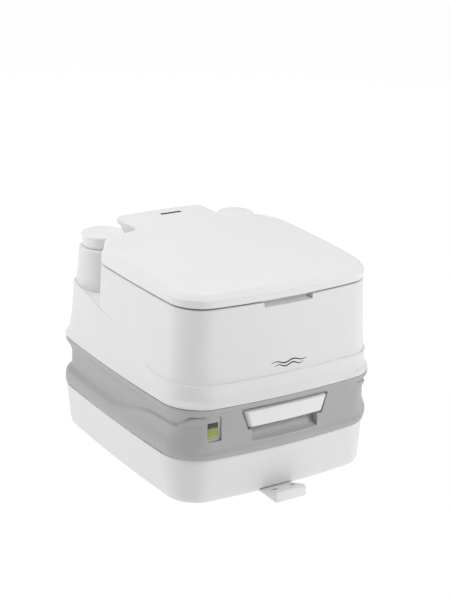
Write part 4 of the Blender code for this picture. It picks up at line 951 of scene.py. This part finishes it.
def lid_surface(shell):
    """Rings of the lid's outer (0) or inner surface, lowest first, then the crowned fill."""
    base = lid_outline(shell)
    n = len(base)
    rear = [smooth(70, 95, y) if abs(x) < 140 else 0.0 for x, y in base]
    rows = []
    z_edge = 292.5 - shell * 0.6
    if not shell:
        rows.append([(x, y, 282.9) for x, y in base])
    else:
        rows.append([(x, y, 282.9) for x, y in base])
    rows.append([(x, y, 286.0) for x, y in base])

    def at(d_side, d_rear, fz):
        ea, eb = lid_outline(shell + d_side), lid_outline(shell + d_rear)
        row = []
        for i in range(n):
            w = rear[i]
            x = ea[i][0] * (1 - w) + eb[i][0] * w
            y = ea[i][1] * (1 - w) + eb[i][1] * w
            row.append((x, y, fz(i, x, y, w)))
        return row

    def mixz(side, rear_drop):
        """side: fraction up the sloped margin; rear_drop: depth below the crown on the rear walls."""
        def f(i, x, y, w):
            top = z_lid(x, y) - shell
            zs_ = z_edge + (top - z_edge) * side
            return zs_ * (1 - w) + (top - rear_drop) * w
        return f

    for ds, dr, s, drop in ((0.0, 0.0, 0.0, 7.0), (0.25, 0.0, 0.05, 3.4), (0.8, 0.1, 0.13, 2.4), (2.4, 0.35, 0.36, 1.5), (4.4, 0.8, 0.62, 0.8),
                            (6.2, 1.5, 0.83, 0.35), (7.4, 2.2, 0.935, 0.12), (8.8, 3.0, 0.985, 0.03), (10.6, 4.4, 1.0, 0.0), (16.0, 9.0, 1.0, 0.0),
                            (30.0, 30.0, 1.0, 0.0)):
        rows.append(at(ds, dr, mixz(s, drop)))
    return rows


def lid_solid(shell):
    rows = lid_surface(shell)
    bm = bmesh.new()
    vs = [[bm.verts.new((x * MM, y * MM, z * MM)) for x, y, z in r] for r in rows]
    n = len(rows[0])
    for lo, hi in zip(vs, vs[1:]):
        for i in range(n):
            j = (i + 1) % n
            bm.faces.new((lo[i], lo[j], hi[j], hi[i]))
    fill_across(bm, vs[-1], [(x, y) for x, y, z in rows[-1]], lambda x, y: z_lid(x, y) - shell, 12.0, True)
    return bm, vs, rows


bm, vs, rows = lid_solid(0.0)
inner_rows = lid_surface(2.6)
vi = [[bm.verts.new((x * MM, y * MM, z * MM)) for x, y, z in r] for r in inner_rows]
n = len(rows[0])
for lo, hi in zip(vi, vi[1:]):
    for i in range(n):
        j = (i + 1) % n
        bm.faces.new((lo[j], lo[i], hi[i], hi[j]))
fill_across(bm, vi[-1], [(x, y) for x, y, z in inner_rows[-1]], lambda x, y: z_lid(x, y) - 2.6, 16.0, False)
lip = [[(x, y, 282.3) for x, y in lid_outline(d)] for d in (0.5, 2.1)]
vl = [[bm.verts.new((x * MM, y * MM, z * MM)) for x, y, z in r] for r in lip]
for a, b in ((vl[0], vs[0]), (vi[0], vl[1]), (vl[1], vl[0])):
    for i in range(n):
        j = (i + 1) % n
        bm.faces.new((a[i], a[j], b[j], b[i]))
bmesh.ops.recalc_face_normals(bm, faces=bm.faces)
t = from_bm("lid", bm)
cut(t, box(-90, 90, 150, 190, 270, 303.5))
for sgn in (-1, 1):
    x0, x1 = sorted((sgn * 51.0, sgn * 58.5))
    join(t, prism(strap((HINGE_Y, HINGE_Z), 6.2, (HINGE_Y - 4, HINGE_Z + 5.4), 4.4), x0, x1, "X"))
cut(t, lathe([(0, 80), (3.4, 80), (3.4, -80), (0, -80)], (0, HINGE_Y, HINGE_Z), 32, axis="X"))
place(t, "lid_shell", LIDW, "lid", "lid_white", "lid")

# ------------------------------------------------------------------ seat
def seat_sec(d):
    hw, sb, yf, bow, yr, rf, rr = LIDS
    return (hw - 7 - d, sb, yf - 7 - d, bow, 91.0 - d, rf - 7 - d * 0.8, rr - 7 - d * 0.8)


out_rows = [poly(outline(seat_sec(d)), z) for z, d in ((283.0, 1.2), (283.4, 0.5), (284.2, 0.1), (286.0, 0.0), (289.5, 0.0), (291.2, 0.5), (292.4, 1.5),
                                                       (293.2, 3.2), (293.5, 5.5))]
t = loft("seat", out_rows)
hole = [(278.0, 90), (283.0, 82.5), (284.5, 80.6), (286.5, 80.0), (288.5, 80.4), (290.5, 82.0), (292.2, 84.8), (293.2, 88.0), (293.5, 91.0), (296.0, 97.0)]
hollow = loft("t", [poly(outline(seat_sec(4.0)), 276.0), poly(outline(seat_sec(4.0)), 288.4), poly(outline(seat_sec(7.0)), 290.2)])
cut(hollow, loft("t", [oval(r + 4, r + 16, -44, z) for z, r in ((270, 92), (284, 80), (289, 80), (297, 92))]))
cut(t, [loft("t", [oval(r, r + 12, -44, z) for z, r in hole]), hollow])
for x, y in ((-112, -128), (112, -128), (122, 52), (-122, 52)):
    join(t, lathe([(0, 291), (8.2, 291), (8.2, 283.2), (7.8, 283.0), (0, 283.0)], (x, y, 0), 32))
join(t, box(-46, 46, 80, 150, 288.2, 293.5, bevel=0.8))
for sgn in (-1, 1):
    x0, x1 = sorted((sgn * 31.0, sgn * 45.5))
    join(t, prism(strap((146, 291.2), 2.8, (HINGE_Y, HINGE_Z), 6.2), x0, x1, "X"))
cut(t, lathe([(0, 80), (3.4, 80), (3.4, -80), (0, -80)], (0, HINGE_Y, HINGE_Z), 32, axis="X"))
place(t, "seat_ring", LIDW, "seat", "lid_white", "seat")

# ------------------------------------------------------------------ filler cap, pump
fx, fy = -TOWER[0], TOWER[1]
t = lathe([(0, 304.6), (16, 304.7), (25.5, 305.0), (28.6, 304.9), (30.2, 304.3), (31.0, 303.2), (31.2, 302.2), (31.0, 300.9), (30.3, 300.3),
           (29.9, 300.0), (29.8, 286.5), (29.3, 285.8), (27.6, 285.8), (27.6, 299.6), (0, 299.6)], (fx, fy, 0), 144, flutes=36, depth=0.5,
          frange=(286.2, 300.1))
place(t, "filler_cap_shell", CAPW, "filler_cap", "lid_white", "filler_cap")
px, py = TOWER
t = lathe([(0, 305.0), (14, 305.0), (22.0, 304.9), (25.2, 304.4), (27.2, 303.2), (28.1, 301.4), (28.2, 299.5), (28.2, 288.6), (27.8, 288.0),
           (26.4, 288.0), (26.4, 302.2), (0, 302.2)], (px, py, 0), 96)
place(t, "pump_knob_shell", CAPW, "pump", "lid_white", "pump_knob")
prof, inner = [(0.0, 301.8), (22.0, 301.8)], []
for i in range(6):
    zc = 300.0 - i * 5.6
    prof += [(23.4, zc + 1.0), (25.0, zc + 0.35), (25.2, zc), (25.0, zc - 0.35), (23.4, zc - 1.0), (21.9, zc - 2.4), (21.6, zc - 2.8)]
    inner.insert(0, (23.2, zc))
    inner.insert(0, (19.6, zc - 2.8))
prof += [(24.8, 264.9), (22.8, 264.9)]
t = lathe(prof + [(19.6, 266.9)] + inner + [(20.0, 300.4), (0.0, 300.4)], (px, py, 0), 72)
place(t, "bellows_skin", RUBBER, "flush_unit", "band_grey", "pump_bellows")
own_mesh(t)

# ------------------------------------------------------------------ plain printed marks
def front_y(x, z):
    w = draft(z) / 13.3
    a = -179.1 - 11.9 * (1 - (x / 163.9) ** 2)
    b = -166.2 - 13.1 * (1 - (x / 154.4) ** 2)
    return a + (b - a) * w


def ribbon(name, line, half, surface, out, body, n=60):
    """Thin raised print: a centre line (u, v) given a width, laid on a surface."""
    bm = bmesh.new()
    rows = []
    for k in range(n + 1):
        u, v, w = line(k / n)
        w *= half
        rows.append([bm.verts.new(Vector(surface(u, v + q, o)) * MM) for q, o in ((-w, -0.5), (-w, out), (w, out), (w, -0.5))])
    for a, b in zip(rows, rows[1:]):
        for i in range(4):
            j = (i + 1) % 4
            bm.faces.new((a[i], a[j], b[j], b[i]))
    bm.faces.new(rows[0])
    bm.faces.new(rows[-1][::-1])
    bmesh.ops.recalc_face_normals(bm, faces=bm.faces)
    place(from_bm(name, bm), name, INK, body, "dark_plastic", angle=40)


def on_front(u, v, o):
    return (u, front_y(u, v) - o, v)


def on_tongue(u, v, o):
    return (u, v, z_lid(u, v) + o)


for k, (zc, amp, hw_) in enumerate(((191.0, 1.7, 29.0), (186.2, 1.7, 24.0))):
    ribbon("wave_mark_%d" % (k + 1),
           lambda t, zc=zc, amp=amp, hw_=hw_: (2.0 - hw_ + 2 * hw_ * t, zc + amp * math.sin(4 * math.pi * t), 0.35 + 0.65 * math.sin(math.pi * t)),
           0.95, on_front, 0.12, "flush_unit")
ribbon("lid_mark", lambda t: (-9.0 + 35.0 * t, 147.0, 1.0), 3.0, on_tongue, 0.12, "lid", 12)

# ------------------------------------------------------------------ stage, light, camera
bm = bmesh.new()
bmesh.ops.create_grid(bm, x_segments=8, y_segments=8, size=60.0)
floor = from_bm("floor", bm)
fm = bpy.data.materials.new("floor_white")
fm.use_nodes = True
fb = fm.node_tree.nodes["Principled BSDF"]
fb.inputs["Base Color"].default_value = (0.06, 0.06, 0.06, 1)
fb.inputs["Emission Color"].default_value = (1, 1, 1, 1)
fb.inputs["Emission Strength"].default_value = 0.97
fb.inputs["Roughness"].default_value = 0.9
fb.inputs["Specular IOR Level"].default_value = 0.0
floor.data.materials.append(fm)
floor.location.z = -0.0002

scene = bpy.context.scene
world = bpy.data.worlds.new("studio")
scene.world = world
world.use_nodes = True
world.node_tree.nodes["Background"].inputs["Color"].default_value = (1, 1, 1, 1)
_w = world.node_tree
_wt = _w.nodes.new("ShaderNodeTexCoord")
_ws = _w.nodes.new("ShaderNodeSeparateXYZ")
_wm = _w.nodes.new("ShaderNodeMapRange")
_wm.inputs["From Min"].default_value = 0.02
_wm.inputs["From Max"].default_value = 0.14
_wm.inputs["To Min"].default_value = 1.0
_wm.inputs["To Max"].default_value = 0.14
_w.links.new(_wt.outputs["Generated"], _ws.inputs["Vector"])
_w.links.new(_ws.outputs["Z"], _wm.inputs["Value"])
_w.links.new(_wm.outputs["Result"], _w.nodes["Background"].inputs["Strength"])


def area(name, loc, target, size, power, size_y=None):
    d = bpy.data.lights.new(name, "AREA")
    d.shape = "RECTANGLE"
    d.size = size
    d.size_y = size_y or size
    d.energy = power
    o = bpy.data.objects.new(name, d)
    scene.collection.objects.link(o)
    o.location = loc
    o.rotation_euler = (Vector(target) - Vector(loc)).to_track_quat("-Z", "Y").to_euler()
    return o


area("left_softbox", (-2.3, 1.3, 2.3), (0, 0, 0.15), 1.6, 54.0)
area("front_right_softbox", (2.0, -2.4, 2.3), (0, 0, 0.15), 1.6, 67.0)
area("top_softbox", (0.0, 0.4, 2.6), (0, 0, 0.2), 2.0, 26.0)

az, el, roll = math.radians(-33.28), math.radians(19.57), math.radians(1.773)
back = Vector((math.sin(az) * math.cos(el), -math.cos(az) * math.cos(el), math.sin(el)))
right = Vector((0, 0, 1)).cross(back).normalized()
upv = back.cross(right).normalized()
r2 = right * math.cos(roll) + upv * math.sin(roll)
u2 = -right * math.sin(roll) + upv * math.cos(roll)
cam_data = bpy.data.cameras.new("camera")
cam_data.sensor_width = 36.0
cam_data.lens = 1518.3 / 600.0 * 36.0
cam = bpy.data.objects.new("camera", cam_data)
scene.collection.objects.link(cam)
cam.matrix_world = Matrix(((r2.x, u2.x, back.x, -1.1266), (r2.y, u2.y, back.y, -1.7383), (r2.z, u2.z, back.z, 0.9577), (0, 0, 0, 1)))
scene.camera = cam
scene.view_settings.view_transform = "Standard"
scene.view_settings.look = "None"
